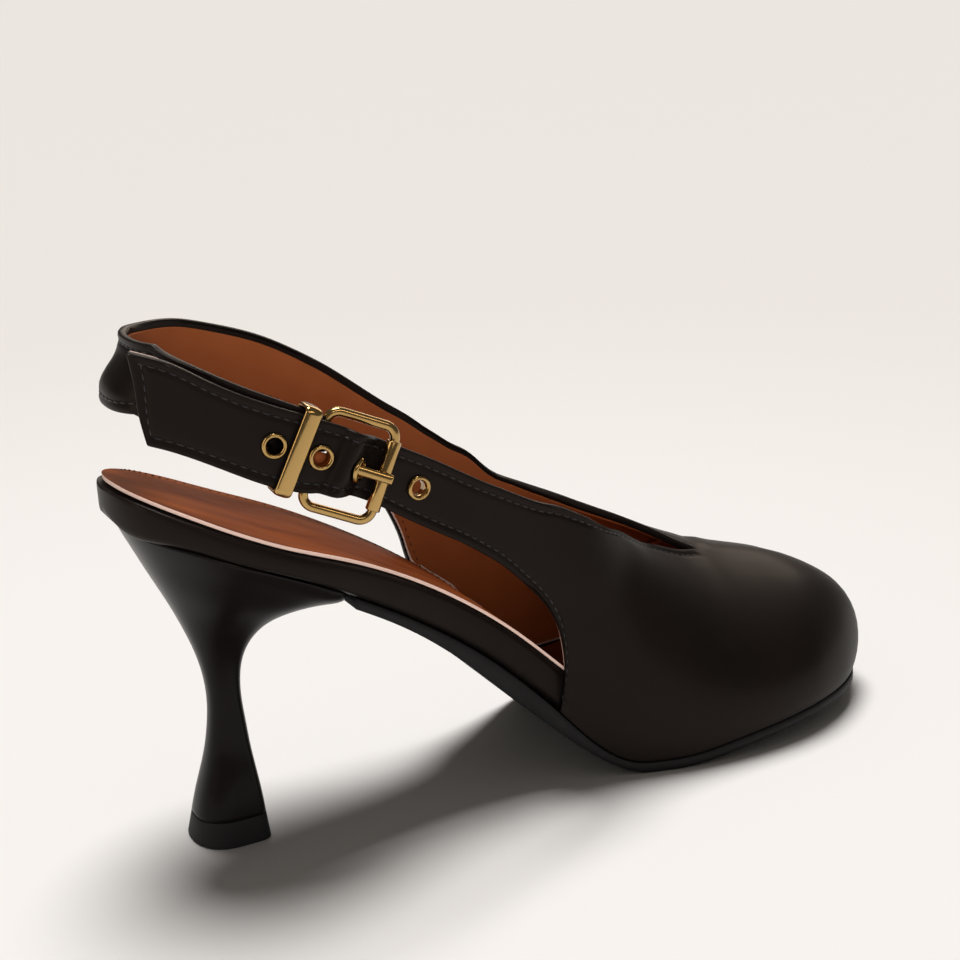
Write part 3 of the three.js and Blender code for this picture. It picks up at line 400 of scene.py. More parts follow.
# The edges of the straps, row by row. top and low are places along the footbed,
# and the two heights over it are shares of the sling's
LATERAL = table(
    "row top low high under",
    (0, 0.59, 0.516, 1.36, -0.375),
    (1, 0.578, 0.521, 1.29, -0.17),
    (2, 0.566, 0.523, 1.235, 0.01),
    (3, 0.554, 0.521, 1.19, 0.14),
    (4, 0.543, 0.516, 1.155, 0.25),
    (5, 0.529, 0.505, 1.12, 0.327),
    (6, 0.512, 0.49, 1.075, 0.363),
    (7, 0.49, 0.468, 1.02, 0.382),
    (8, 0.47, 0.442, 0.975, 0.4),
    (9, 0.446, 0.412, 0.935, 0.4),
    (10, 0.4245, 0.385, 0.905, 0.398),
    (11, 0.4, 0.3595, 0.885, 0.393),
    (12.5, 0.355, 0.315, 0.87, 0.4),
    (14, 0.31, 0.27, 0.862, 0.43),
    (15.5, 0.265, 0.2265, 0.868, 0.425),
    (17, 0.22, 0.18, 0.876, 0.38),
    (19, 0.16, 0.13, 0.88, 0.375),
    (21, 0.096, 0.085, 0.905, 0.393),
    (22, 0.066, 0.063, 0.935, 0.4),
    (23, 0.036, 0.046, 0.925, 0.395),
)
MEDIAL = table(
    "row top low high under",
    (0, 0.535, 0.438, 1.185, -0.325),
    (1, 0.512, 0.429, 1.145, -0.16),
    (2, 0.49, 0.416, 1.115, 0),
    (3, 0.472, 0.409, 1.1, 0.136),
    (4, 0.455, 0.396, 1.09, 0.271),
    (5, 0.431, 0.379, 1.09, 0.391),
    (6, 0.403, 0.356, 1.083, 0.487),
    (7, 0.368, 0.325, 1.1, 0.575),
    (8, 0.333, 0.299, 1.13, 0.637),
    (9, 0.299, 0.273, 1.15, 0.669),
    (10, 0.255, 0.238, 1.165, 0.68),
    (11, 0.21, 0.2, 1.158, 0.68),
    (12, 0.168, 0.163, 1.135, 0.68),
    (13, 0.125, 0.122, 1.09, 0.665),
    (14, 0.085, 0.085, 1.015, 0.62),
    (15, 0.056, 0.056, 0.955, 0.575),
    (16, 0.034, 0.034, 0.915, 0.525),
)
SLING_END = table(
    "row top low high under",
    (0, 0.034, 0.034, 0.915, 0.525),
    (1, 0.043, 0.043, 0.9, 0.51),
    (2, 0.056, 0.054, 0.895, 0.49),
    (3, 0.075, 0.07, 0.895, 0.475),
    (4, 0.11, 0.093, 0.895, 0.445),
    (5, 0.152, 0.125, 0.9, 0.42),
    (6, 0.188, 0.155, 0.9, 0.405),
    (7, 0.2285, 0.1935, 0.89, 0.395),
)


def edge_curves(rows):
    return {name: curve(rows, name, "row") for name in ("top", "low", "high", "under")}


EDGES = {
    "strap": ("lateral", edge_curves(LATERAL), LATERAL[-1]["row"]),
    "quarter": ("medial", edge_curves(MEDIAL), MEDIAL[-1]["row"]),
    "sling_end": ("lateral", edge_curves(SLING_END), SLING_END[-1]["row"]),
}


def top_place(side, x, high):
    """The top edge follows its height on the straps and the throat's table on the vamp."""
    by_rise = place_at_rise(side, x, high * SLING_RISE)
    vamp = ease((share_at(x) - THROAT_START) / THROAT_BLEND)
    return mix(by_rise, throat_cover[side](share_at(x)), vamp)


@lru_cache(maxsize=None)
def edge_ends(name, row):
    """Where one row of an edge table starts and ends on the last."""
    side, curves, _ = EDGES[name]
    top_x = x_at(curves["top"](row))
    low_x = x_at(curves["low"](row))
    top_v = top_place(side, top_x, curves["high"](row))
    low_v = place_at_rise(side, low_x, curves["under"](row) * SLING_RISE)
    return low_x, low_v, top_x, top_v


def edge_point(name, row, w, lean=1.0):
    low_x, low_v, top_x, top_v = edge_ends(name, row)
    return last_point(EDGES[name][0], mix(low_x, top_x, w), mix(low_v, top_v, w), lean)


# The buckle, along the strap from the frame's middle
FRAME_LENGTH = 21.0
FRAME_INNER = 23.9
FRAME_WIRE = 2.2
FRAME_CORNER = 3.4
ROLLER_WALL = 0.6
LOOP_WALL = 0.8
LOOP_LENGTH = 17.2
FRAME_DROP = 1.2
STRAP_UNDER_LIFT = 0.4
PRONG_WIRE = 2.0
PRONG_WIDTH = 3.0
PRONG_RISE = 0.3
KEEPER_HEIGHT = 22.0
KEEPER_WIDTH = 4.8
KEEPER_PLATE = 1.0
KEEPER_SETBACK = 15.5
KEEPER_TURN = 4.4
KEEPER_LIFT = 0.2
KEEPER_ROOM = 1.5
EYELET = 7.0
EYELET_HOLE = 4.2
EYELET_TUBE = 0.5
LIP_GAP = 0.3
BAR_SPACING = FRAME_LENGTH - FRAME_WIRE
HINGE_ALONG = -BAR_SPACING / 2
FRONT_ALONG = BAR_SPACING / 2
BAR_RADIUS = FRAME_WIRE / 2
HINGE_OUT = WALL / 2
LOOP_RADIUS = BAR_RADIUS + GAP + LOOP_WALL
ROLLER_RADIUS = BAR_RADIUS + GAP + ROLLER_WALL
FRONT_OUT = WALL + STRAP_UNDER_LIFT + GAP + ROLLER_RADIUS
PRONG_START = HINGE_OUT + PRONG_RISE
PRONG_END = FRONT_OUT + ROLLER_RADIUS + 2 * GAP + PRONG_WIRE / 2
PRONG_SLOPE = (PRONG_END - PRONG_START) / BAR_SPACING
OVER_HINGE = HINGE_OUT + LOOP_RADIUS + LAYER_GAP
OVER_SLING = WALL + LAYER_GAP
STRAP_PATH = table(
    "at out",
    (-60, OVER_SLING + 2),
    (-48, OVER_SLING + 0.8),
    (-38, OVER_SLING),
    (-28, OVER_SLING),
    (-16, OVER_SLING),
    (-14.2, OVER_SLING + 0.05),
    (-13.3, OVER_SLING + 0.5),
    (-12.5, OVER_HINGE - 0.1),
    (-11.5, OVER_HINGE),
    (-7.2, OVER_HINGE),
    (-5.6, OVER_HINGE),
    (-4.8, OVER_HINGE + 0.7),
    (-4, OVER_HINGE + 2),
    (-3.2, OVER_HINGE + 2.75),
    (-2.4, OVER_HINGE + 2.65),
    (-1.7, OVER_HINGE + 1.93),
    (0.2, OVER_HINGE - 0.15),
    (2.6, OVER_HINGE - 2.78),
    (3.5, STRAP_UNDER_LIFT + 0.2),
    (4.6, STRAP_UNDER_LIFT),
    (6, STRAP_UNDER_LIFT),
    (9.6, STRAP_UNDER_LIFT - 0.05),
    (13, 0.25),
    (17, 0),
    (40, 0),
)
strap_out = curve(STRAP_PATH, "out")
STRAP_LEAN = 0.2
SMALL_ROW = 0.03


def strap_middle(row, w=0.5):
    return edge_point("strap", row, w, STRAP_LEAN)


def row_where(test):
    low, high = 0.0, EDGES["strap"][2]
    for _ in range(HALVINGS):
        middle = (low + high) / 2
        if test(middle):
            high = middle
        else:
            low = middle
    return (low + high) / 2


def strap_frame(row):
    """Origin, along, across and out of the strap's middle line at one row."""
    origin = strap_middle(row)
    along = (strap_middle(row - SMALL_ROW) - strap_middle(row + SMALL_ROW)).normalized()
    across = strap_middle(row, 0.5 + SMALL_ROW) - strap_middle(row, 0.5 - SMALL_ROW)
    out = along.cross(across.normalized()).normalized()
    return origin, along, out.cross(along), out


BUCKLE_ROW = row_where(lambda row: strap_middle(row).x < x_at(BUCKLE_AT))
BUCKLE = strap_frame(BUCKLE_ROW)


@lru_cache(maxsize=None)
def along_of(row):
    return (strap_middle(row) - BUCKLE[0]).dot(BUCKLE[1])


@lru_cache(maxsize=None)
def row_along(along):
    return row_where(lambda row: along_of(row) < along)


def basis(place, drop=0.0):
    """The matrix of a fitting's own axes: X along the strap to the toe, Y across it, Z out."""
    origin, along, across, out = place
    turn = Matrix((along, across, out)).transposed().to_4x4()
    return Matrix.Translation(origin - across * drop) @ turn


SLOPE_STEP = 0.4


def eyelet_place(along, drop):
    """The frame of an eyelet on the strap's inner face, turned with the strap's slope."""
    origin, forward, across, out = strap_frame(row_along(along))
    rise = strap_out(along + SLOPE_STEP) - strap_out(along - SLOPE_STEP)
    lean = math.atan(rise / (2 * SLOPE_STEP))
    turned_along = forward * math.cos(lean) + out * math.sin(lean)
    turned_out = turned_along.cross(across).normalized()
    return origin + out * strap_out(along) - across * drop, turned_along, across, turned_out


EYELETS = {
    "eyelet_1": (-21.6, 0.0),
    "eyelet_2": (-9.35, 0.0),
    "eyelet_3": (-0.1, FRAME_DROP),
    "eyelet_4": (22.1, 0.0),
}

# The leather's surfaces. Each takes a row and a share across it, and gives a point on the inner skin


def quarter_skin(side, t, w):
    """From the throat's tip (0) to where the upper leaves the sole (1)."""
    name = "strap" if side == "lateral" else "quarter"
    curves = EDGES[name][1]
    top_x = x_at(mix(THROAT_AT, curves["top"](0), t))
    low_x = x_at(mix(THROAT_AT, curves["low"](0), t))
    top_v = top_place(side, top_x, curves["high"](0))
    low_v = edge_ends(name, 0)[1] * t
    return last_point(side, mix(low_x, top_x, w), mix(low_v, top_v, w))


def strap_skin(row, w):
    """The outer strap, lifted over the sling and the hinge by its path."""
    last_row = EDGES["strap"][2]
    point = strap_middle(row, w)
    ahead = strap_middle(row - SMALL_ROW, w)
    behind = strap_middle(min(row + SMALL_ROW, last_row), w)
    sideways = (ahead - behind).cross(Vector((0, 0, 1))).normalized()
    return point + sideways * strap_out(along_of(row))


SEAM_SHARE = 0.034
SEAM_TURN = (TURN_X - x_at(SEAM_SHARE)) / (TURN_X - BACK_END)
SEAM_WIDTH = (1 - SEAM_TURN**TURN_POWER) ** (1 / TURN_POWER)


def back_skin(t, w):
    """The sling across the back, from the inner side (0) to the outer side (1), its edges level."""
    width = mix(SEAM_WIDTH, -SEAM_WIDTH, t)
    side = "medial" if width > 0 else "lateral"
    x = mix(TURN_X, BACK_END, (1 - abs(width) ** TURN_POWER) ** (1 / TURN_POWER))
    curves = EDGES["sling_end"][1]
    climb = seat_top(share_at(x)) - seat_top(SEAM_SHARE)
    top_v = place_at_rise(side, x, curves["high"](0) * SLING_RISE - climb)
    low_v = place_at_rise(side, x, curves["under"](0) * SLING_RISE - climb)
    return last_point(side, x, mix(low_v, top_v, w))


BACK_ROWS = 20


def row_length(skin, row, start=0.0, end=1.0, steps=10):
    points = [skin(row, mix(start, end, i / steps)) for i in range(steps + 1)]
    return sum((b - a).length for a, b in zip(points, points[1:]))


EDGE_STEPS = (0.0, 0.55, 1.2, 1.9, 2.6, 3.3, 4.4)
MIDDLE_STEPS = 9
COLUMNS = 2 * (len(EDGE_STEPS) - 1) + MIDDLE_STEPS


def column_shares(length):
    """Places across a row, close together at its two edges."""
    low = [step / length for step in EDGE_STEPS]
    high = [1 - share for share in reversed(low)]
    between = [mix(low[-1], high[0], i / MIDDLE_STEPS) for i in range(1, MIDDLE_STEPS)]
    return low + between + high


# Rows of each surface, as places along it
VAMP_ROWS = 52
TOE_CROWDING = 1.9
QUARTER_ROWS = 26
ROW_SPACING = 1.3
FINE_ROWS = 120
NO_LENGTH = 1e-9


def steps_between(start, end, count):
    return [mix(start, end, i / count) for i in range(count + 1)]


def rows_by_length(skin, start, end):
    """Rows an even distance apart along the middle of a surface."""
    fine = steps_between(start, end, FINE_ROWS)
    points = [skin(row, 0.5) for row in fine]
    lengths = [0.0]
    for a, b in zip(points, points[1:]):
        lengths.append(lengths[-1] + (b - a).length)
    count = max(2, round((lengths[-1] - EDGE_STEPS[-1]) / ROW_SPACING))
    goals = [(lengths[-1] - EDGE_STEPS[-1]) * i / count for i in range(count)]
    goals += [lengths[-1] - step for step in reversed(EDGE_STEPS)]
    rows = []
    for goal in goals:
        k = min(len(fine) - 2, max(0, bisect_right(lengths, goal) - 1))
        part = (goal - lengths[k]) / max(NO_LENGTH, lengths[k + 1] - lengths[k])
        rows.append(mix(fine[k], fine[k + 1], clamp01(part)))
    return rows


def upper_surfaces():
    """Every surface of the upper: its name, its side, its rows and its skin."""
    vamp = [mix(SKIN_END, THROAT_AT, (i / VAMP_ROWS) ** TOE_CROWDING) for i in range(VAMP_ROWS + 1)]
    found = []
    for side in ("lateral", "medial"):
        found.append(("vamp", side, vamp, lambda share, v, s=side: last_point(s, x_at(share), v)))
        wing = lambda t, w, s=side: quarter_skin(s, t, w)
        found.append(("wing", side, steps_between(0, 1, QUARTER_ROWS), wing))
    strap_rows = rows_by_length(strap_skin, 0, EDGES["strap"][2])
    found.append(("strap", "lateral", strap_rows, strap_skin))
    found.append(("back", "medial", steps_between(0, 1, BACK_ROWS), back_skin))
    for name in ("quarter", "sling_end"):
        side, _, last_row = EDGES[name]
        skin = lambda row, w, n=name: edge_point(n, row, w)
        found.append((name, side, rows_by_length(skin, 0, last_row), skin))
    return found


FAR_FROM_EDGE = 50.0


def add_grid(bm, rows, columns, place, edge_distance=None):
    """A grid of faces whose corners are put where place(i, j) says, in millimetres."""
    layer = bm.verts.layers.float.get("edge") or bm.verts.layers.float.new("edge")
    made = bmesh.ops.create_grid(bm, x_segments=rows, y_segments=columns, size=1.0)
    for vert in made["verts"]:
        i = round((vert.co.x + 1) / 2 * rows)
        j = round((vert.co.y + 1) / 2 * columns)
        vert.co = place(i, j) * MM
        vert[layer] = edge_distance(i, j) if edge_distance else FAR_FROM_EDGE


MERGE_DISTANCE = 0.004
NO_AREA = 1e-12


def merge(bm):
    """Joins corners that meet, and deletes the faces that have no area then."""
    bmesh.ops.remove_doubles(bm, verts=bm.verts[:], dist=MERGE_DISTANCE * MM)
    thin = [face for face in bm.faces if face.calc_area() < NO_AREA]
    if thin:
        bmesh.ops.delete(bm, geom=thin, context="FACES")


def finished(bm, name, material, body="root"):
    """Turns a bmesh into a piece that rides on its body."""
    bmesh.ops.recalc_face_normals(bm, faces=bm.faces[:])
    for face in bm.faces:
        face.smooth = True
    mesh = bpy.data.meshes.new(name)
    bm.to_mesh(mesh)
    bm.free()
    obj = bpy.data.objects.new(name, mesh)
    bpy.context.scene.collection.objects.link(obj)
    for item in material if isinstance(material, list) else [material]:
        mesh.materials.append(item)
    if body:
        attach(obj, body)
    return obj


# Materials


def add_node(tree, kind, links=None, **settings):
    """Adds a node, sets its attributes and sockets, and links its inputs."""
    node = tree.nodes.new(kind)
    for key, value in settings.items():
        if hasattr(node, key) and key not in node.inputs:
            setattr(node, key, value)
        else:
            node.inputs[key.replace("_", " ")].default_value = value
    for key, source in (links or {}).items():
        tree.links.new(source, node.inputs[key])
    return node


def new_material(name, **shader):
    """A material with one Principled shader, its settings on the shader's own sockets."""
    material = bpy.data.materials.new(name)
    material.use_nodes = True
    tree = material.node_tree
    surface = tree.nodes["Principled BSDF"]
    for key, value in shader.items():
        surface.inputs[key.replace("_", " ")].default_value = value
    return material, tree, surface


def grain(tree, surface, size, strength, distance):
    """A fine pebble of rounded cells, as leather has, with a size in millimetres."""
    place = add_node(tree, "ShaderNodeTexCoord").outputs["Object"]
    cells = add_node(tree, "ShaderNodeTexVoronoi", {"Vector": place}, Scale=1 / (size * MM))
    noise = add_node(tree, "ShaderNodeTexNoise", {"Vector": place}, Scale=0.4 / (size * MM), Detail=2.0)
    both = add_node(tree, "ShaderNodeMath", {0: cells.outputs["Distance"], 1: noise.outputs["Fac"]})
    raised(tree, surface, both.outputs["Value"], strength, distance)


def raised(tree, surface, height, strength, distance):
    """Lets a height in millimetres tilt the surface."""
    bump = add_node(
        tree, "ShaderNodeBump", {"Height": height}, Strength=strength, Distance=distance * MM
    )
    tree.links.new(bump.outputs["Normal"], surface.inputs["Normal"])


# Numbers of a Mix node's colour sockets, which share their names with its other sockets
COLOUR_A = 6
COLOUR_B = 7
COLOUR_RESULT = 2


def varied(tree, surface, socket, factor, low, high):
    """Leads a factor to a socket of the shader, between two values or two colours."""
    if isinstance(low, tuple):
        tone = add_node(tree, "ShaderNodeMix", {"Factor": factor}, data_type="RGBA")
        tone.inputs[COLOUR_A].default_value = low
        tone.inputs[COLOUR_B].default_value = high
        tree.links.new(tone.outputs[COLOUR_RESULT], surface.inputs[socket])
        return
    spread = add_node(tree, "ShaderNodeMapRange", {"Value": factor}, To_Min=low, To_Max=high)
    tree.links.new(spread.outputs["Result"], surface.inputs[socket])


def patchy(tree, surface, socket, low, high=None, size=1.0):
    """Sets a socket of the shader, or lets it vary softly between two values over the surface."""
    if high is None:
        surface.inputs[socket].default_value = low
        return
    place = add_node(tree, "ShaderNodeTexCoord").outputs["Object"]
    noise = add_node(tree, "ShaderNodeTexNoise", {"Vector": place}, Scale=1 / (size * MM), Detail=3.0)
    varied(tree, surface, socket, noise.outputs["Fac"], low, high)


def finish(name, colour, roughness, pebble=None, **shader):
    """A material. Its colour and its roughness are one value, or two and the size of their patches.

    Its pebble is a size, a strength and a depth. All sizes are in millimetres."""
    material, tree, surface = new_material(name, **shader)
    patchy(tree, surface, "Base Color", *colour)
    patchy(tree, surface, "Roughness", *roughness)
    if pebble:
        grain(tree, surface, *pebble)
    return material


BROWN_SHEEN = linear("#ffe2cc")


def black_leather(settings):
    """Box calf, aniline dyed and polished: nearly black with a brown cast, a soft broad gloss."""
    colours = (settings.leather_colour[:], linear("#0c0a0a"), 22)
    gloss = {"IOR": 1.45, "Specular_IOR_Level": 0.13, "Specular_Tint": BROWN_SHEEN}
    coat = {"Coat_Weight": 0.05, "Coat_Roughness": 0.2}
    return finish("polished_calf", colours, (0.38, 0.48, 14), (0.55, 0.12, 0.05), **gloss, **coat)


def tan_lining(settings):
    """Vegetable tanned lining leather: cognac, dry and lightly waxed."""
    colours = (settings.lining_colour[:], linear("#8d4a26"), 9)
    gloss = {"IOR": 1.45, "Specular_IOR_Level": 0.1}
    return finish("cognac_lining", colours, (0.5, 0.62, 11), (0.4, 0.1, 0.04), **gloss)


def insole_leather(settings):
    """The same leather rubbed and waxed on the insole: darker, with soft streaks along the foot."""
    dark = linear("#5c2a14")
    gloss = {"IOR": 1.45, "Specular_IOR_Level": 0.02}
    material = finish("waxed_insole", (dark,), (0.42, 0.58, 9), (0.4, 0.1, 0.04), **gloss)
    tree = material.node_tree
    place = add_node(tree, "ShaderNodeTexCoord").outputs["Object"]
    drawn = add_node(tree, "ShaderNodeMapping", {"Vector": place}, Scale=(0.22, 1.0, 0.22))
    noise = add_node(
        tree, "ShaderNodeTexNoise", {"Vector": drawn.outputs["Vector"]}, Scale=1 / (11 * MM), Detail=3.0
    )
    tone = add_node(
        tree, "ShaderNodeMapRange", {"Value": noise.outputs["Fac"]}, From_Min=0.3, From_Max=0.7
    )
    surface = tree.nodes["Principled BSDF"]
    varied(tree, surface, "Base Color", tone.outputs["Result"], dark, settings.insole_colour[:])
    return material


def raw_edge(settings):
    """The bare cut edge of the lining: pale pinkish fibres, quite matt."""
    return finish("cut_edge", (settings.edge_colour[:],), (0.75,), (0.3, 0.25, 0.05), IOR=1.4)


def heel_lacquer(settings):
    """A plastic heel wrapped in smooth lacquered film: black, with long soft reflections."""
    gloss = {"IOR": 1.45, "Specular_IOR_Level": 0.1, "Coat_Weight": 0.06, "Coat_Roughness": 0.1}
    return finish("heel_lacquer", (linear("#0f0b0a"),), (0.27, 0.33, 25), (3.0, 0.03, 0.05), **gloss)


def sole_rubber(settings):
    """Moulded hard rubber: charcoal black, matt, with a fine mould texture."""
    gloss = {"IOR": 1.45, "Specular_IOR_Level": 0.3}
    return finish("moulded_rubber", (linear("#111011"),), (0.5, 0.66, 5), (0.35, 0.2, 0.05), **gloss)


def gold_plate(settings):
    """Zinc castings plated in pale gold and polished: mirror-like with faint polishing waves."""
    colour = (settings.gold_colour[:],)
    return finish("pale_gold_plate", colour, (0.12, 0.2, 2.5), (2.2, 0.05, 0.05), Metallic=1.0)


def waxed_thread(settings):
    """Waxed black sewing thread, twisted, with a slight sheen."""
    material = finish("waxed_thread", (linear("#141216"),), (0.32,), IOR=1.5)
    tree = material.node_tree
    place = add_node(tree, "ShaderNodeTexCoord").outputs["Object"]
    twist = add_node(tree, "ShaderNodeTexWave", {"Vector": place}, Scale=1 / (1.2 * MM), Distortion=1.0)
    raised(tree, tree.nodes["Principled BSDF"], twist.outputs["Fac"], 0.3, 0.06)
    return material


def tan_thread_and_painted_hole_shade(settings):
    """Sewing thread in the lining's own brown, a little darker all over as painted shade of the holes it
    sinks into.
    """
    return finish("brown_thread_and_painted_hole_shade", (linear("#5e2c14"),), (0.6,), IOR=1.45)


MAKERS = {
    "leather": black_leather,
    "lining": tan_lining,
    "insole": insole_leather,
    "edge": raw_edge,
    "lacquer": heel_lacquer,
    "rubber": sole_rubber,
    "gold": gold_plate,
    "thread": waxed_thread,
    "tan_thread_and_painted_hole_shade": tan_thread_and_painted_hole_shade,
}
_materials = {}


def material_of(kind):
    if kind not in _materials:
        _materials[kind] = MAKERS[kind](bpy.context.scene.pump_finishes)
    return _materials[kind]


# The upper


def edge_distance_of(name, row_lengths, spans, lengths):
    """How far each corner of a surface lies from the nearest cut edge."""

    def distance(i, j):
        share = spans[i][j]
        from_top = (1 - share) * lengths[i]
        if name == "vamp":
            return FAR_FROM_EDGE
        if name == "wing":
            return from_top
        return min(from_top, share * lengths[i], row_lengths[i])

    return distance


LINING_TOE_END = 0.93


def sheet_of_surfaces(inset=None):
    """All the upper's surfaces as one open sheet on the inner skin, with its outward normals.

    With an inset, the sheet is the lining's: it starts over the insole and stops short of the edges."""
    bm = bmesh.new()
    for name, side, rows, skin in upper_surfaces():
        if inset is not None and name == "vamp":
            rows = [row for row in rows if row < LINING_TOE_END]
        points = [skin(row, 0.5) for row in rows]
        to_end = [0.0]
        for a, b in zip(reversed(points[1:]), reversed(points[:-1])):
            to_end.insert(0, to_end[0] + (b - a).length)
        if name in ("quarter", "back"):
            to_end = [FAR_FROM_EDGE] * len(rows)
        spans = []
        lengths = []
        for i, row in enumerate(rows):
            low, high = 0.0, 1.0
            if inset is not None:
                low, high = lining_span(name, side, row, skin, inset(name, to_end[i]))
            length = row_length(skin, row, low, high)
            lengths.append(length)
            spans.append([mix(low, high, share) for share in column_shares(length)])
        distance = edge_distance_of(name, to_end, spans, lengths)
        add_grid(bm, len(rows) - 1, COLUMNS, lambda i, j: skin(rows[i], spans[i][j]), distance)
    merge(bm)
    bmesh.ops.recalc_face_normals(bm, faces=bm.faces[:])
    crown = max(bm.faces, key=lambda face: face.calc_center_median().x)
    if crown.normal.x < 0:
        bmesh.ops.reverse_faces(bm, faces=bm.faces[:])
    bm.normal_update()
    return bm


LINING_SINK = 1.0
FOLDED_INSET = 2.3
CUT_INSET = 0.9
FLUSH_INSET = 0.2
TAIL_FLUSH = (5.0, 14.0)
LINING_LIMIT = 0.9
LINING_TRIES = 60


def lining_inset(name, to_end):
    """How far the lining stops from the low and the high edge: flush where both are cut together."""
    if name == "strap":
        tail = ease((to_end - TAIL_FLUSH[0]) / (TAIL_FLUSH[1] - TAIL_FLUSH[0]))
        return FLUSH_INSET, mix(FLUSH_INSET, FOLDED_INSET, tail)
    return CUT_INSET if name in ("wing", "quarter") else FOLDED_INSET, FOLDED_INSET


def lining_span(name, side, row, skin, inset):
    """Where the lining starts and ends across one row."""
    if name == "vamp":
        low = place_at_rise(side, x_at(row), -LINING_SINK)
        return min(low, LINING_LIMIT), 1.0
    length = row_length(skin, row)
    high = 1 - inset[1] / length
    low = 0.0 if name == "wing" else inset[0] / length
    for i in range(LINING_TRIES):
        point = skin(row, i / LINING_TRIES)
        if point.z > seat_top(clamp01(share_at(point.x))) - LINING_SINK:
            return max(low, i / LINING_TRIES), high
    return low, high


# How the leather stands at a distance from its cut edge: a rolled rim and a groove for the stitches
RIM_ROLL = 0.28
RIM_AT = 0.9
RIM_SPREAD = 0.9
STITCH_INSET = 2.6
GROOVE_DEPTH = 0.38
GROOVE_SPREAD = 0.55


def edge_relief(distance):
    roll = RIM_ROLL * math.exp(-(((distance - RIM_AT) / RIM_SPREAD) ** 2))
    groove = GROOVE_DEPTH * math.exp(-(((distance - STITCH_INSET) / GROOVE_SPREAD) ** 2))
    return roll - groove


# Soft folds of the worn-in leather: place and direction in millimetres, with the reach and the height
FOLDS = table(
    "x z angle length width height",
    (163, 52, 60, 7, 2.2, -0.35),
    (168, 51, 68, 8, 2.4, 0.25),
    (112, 84, -30, 15, 4.5, -0.45),
    (105, 89, -30, 12, 3.6, 0.35),
    (120, 74, -22, 12, 4.0, 0.3),
    (126, 64, 35, 18, 6.0, -0.4),
    (134, 46, 65, 20, 7.0, 0.3),
    (85, 99, 75, 8, 2.8, 0.25),
)
FOLD_FADE = (4.0, 12.0)


def fold_relief(point):
    total = 0.0
    for fold in FOLDS:
        dx = point.x / MM - fold["x"]
        dz = point.z / MM - fold["z"]
        turn = math.radians(fold["angle"])
        along = dx * math.cos(turn) + dz * math.sin(turn)
        across = dz * math.cos(turn) - dx * math.sin(turn)
        reach = math.exp(-((along / fold["length"]) ** 2 + (across / fold["width"]) ** 2))
        total += fold["height"] * reach
    return total


def wall_of(bm, inner, outer, relief=False):
    """Gives an open sheet its wall, between two distances along its own normals."""
    index = bm.verts.layers.int.new("corner")
    layer = bm.verts.layers.float["edge"]
    normals = {}
    for i, vert in enumerate(bm.verts):
        vert[index] = i
        normal = vert.normal.copy()
        bed = bed_under(clamp01(share_at(vert.co.x / MM)))
        if vert.is_boundary and vert.co.z < (bed + LOW_RIM) * MM:
            normal.z = 0
            normal.normalize()
        normals[i] = normal
    even_out(bm, normals, index)
    grown = bmesh.ops.extrude_face_region(bm, geom=bm.faces[:], use_keep_orig=True)
    shifted = {item for item in grown["geom"] if isinstance(item, bmesh.types.BMVert)}
    for vert in bm.verts:
        distance = inner
        if vert in shifted:
            distance = outer
            if relief:
                inside = ease((vert[layer] - FOLD_FADE[0]) / (FOLD_FADE[1] - FOLD_FADE[0]))
                distance += edge_relief(vert[layer]) + inside * fold_relief(vert.co)
        moved = vert.co + normals[vert[index]] * (distance * MM)
        floor = (bed_under(clamp01(share_at(moved.x / MM))) + FEATHER_LIFT) * MM
        moved.z = max(moved.z, floor)
        vert.co = moved
    bmesh.ops.recalc_face_normals(bm, faces=bm.faces[:])


BUCKLE_REACH = 17.0
EVEN_ROUNDS = 5


def even_out(bm, normals, index):
    """Averages the normals where the strap bends sharply through the buckle, so its wall stays whole."""
    centre = BUCKLE[0] * MM
    near = [vert for vert in bm.verts if (vert.co - centre).length < BUCKLE_REACH * MM]
    for _ in range(EVEN_ROUNDS):
        averaged = {}
        for vert in near:
            total = normals[vert[index]].copy()
            for edge in vert.link_edges:
                total += normals[edge.other_vert(vert)[index]]
            averaged[vert[index]] = total.normalized()
        normals.update(averaged)


LOW_RIM = 1.5
RIM_CLEAR = 3.0


def above_feather(edge):
    """True for edges that stand clear of the sole."""
    middle = (edge.verts[0].co + edge.verts[1].co) / 2
    return middle.z > (seat_top(clamp01(share_at(middle.x / MM))) - RIM_CLEAR) * MM


def round_rims(bm, width, angle=55, test=None):
    """Rounds every edge sharper than an angle."""
    bm.normal_update()
    sharp = [
        edge
        for edge in bm.edges
        if len(edge.link_faces) == 2
        and edge.calc_face_angle(0) > math.radians(angle)
        and (test is None or test(edge))
    ]
    bmesh.ops.bevel(
        bm,
        geom=sharp,
        offset=width * MM,
        segments=3,
        profile=0.5,
        affect="EDGES",
        clamp_overlap=False,
        material=-1,
    )


CUTTER_SIDES = 40
CUTTER_DEPTH = WALL * 4


def hole_cutters():
    """The eyelets' holes and the slot where the tongue's eye turns."""
    bm = bmesh.new()
    radius = (EYELET_HOLE / 2 + EYELET_TUBE + GAP / 2) * MM
    middle = Matrix.Translation((0, 0, WALL / 2 * MM))
    for along, drop in EYELETS.values():
        made = bmesh.ops.create_cone(
            bm, cap_ends=True, segments=CUTTER_SIDES, radius1=radius, radius2=radius, depth=CUTTER_DEPTH * MM
        )
        bmesh.ops.transform(bm, matrix=middle, verts=made["verts"])
        to_frame(bm, made["verts"], basis(eyelet_place(along, drop)))
    made = bmesh.ops.create_cube(bm, size=1.0)
    reach = 2 * (LOOP_RADIUS + GAP)
    size = Matrix.Diagonal((reach * MM, (PRONG_WIDTH + 2 * GAP) * MM, reach * MM, 1))
    slot = Matrix.Translation(Vector((HINGE_ALONG, 0, HINGE_OUT)) * MM) @ size
    bmesh.ops.transform(bm, matrix=slot, verts=made["verts"])
    to_frame(bm, made["verts"], basis(BUCKLE, FRAME_DROP))
    return finished(bm, "cut_holes", material_of("leather"), body=None)


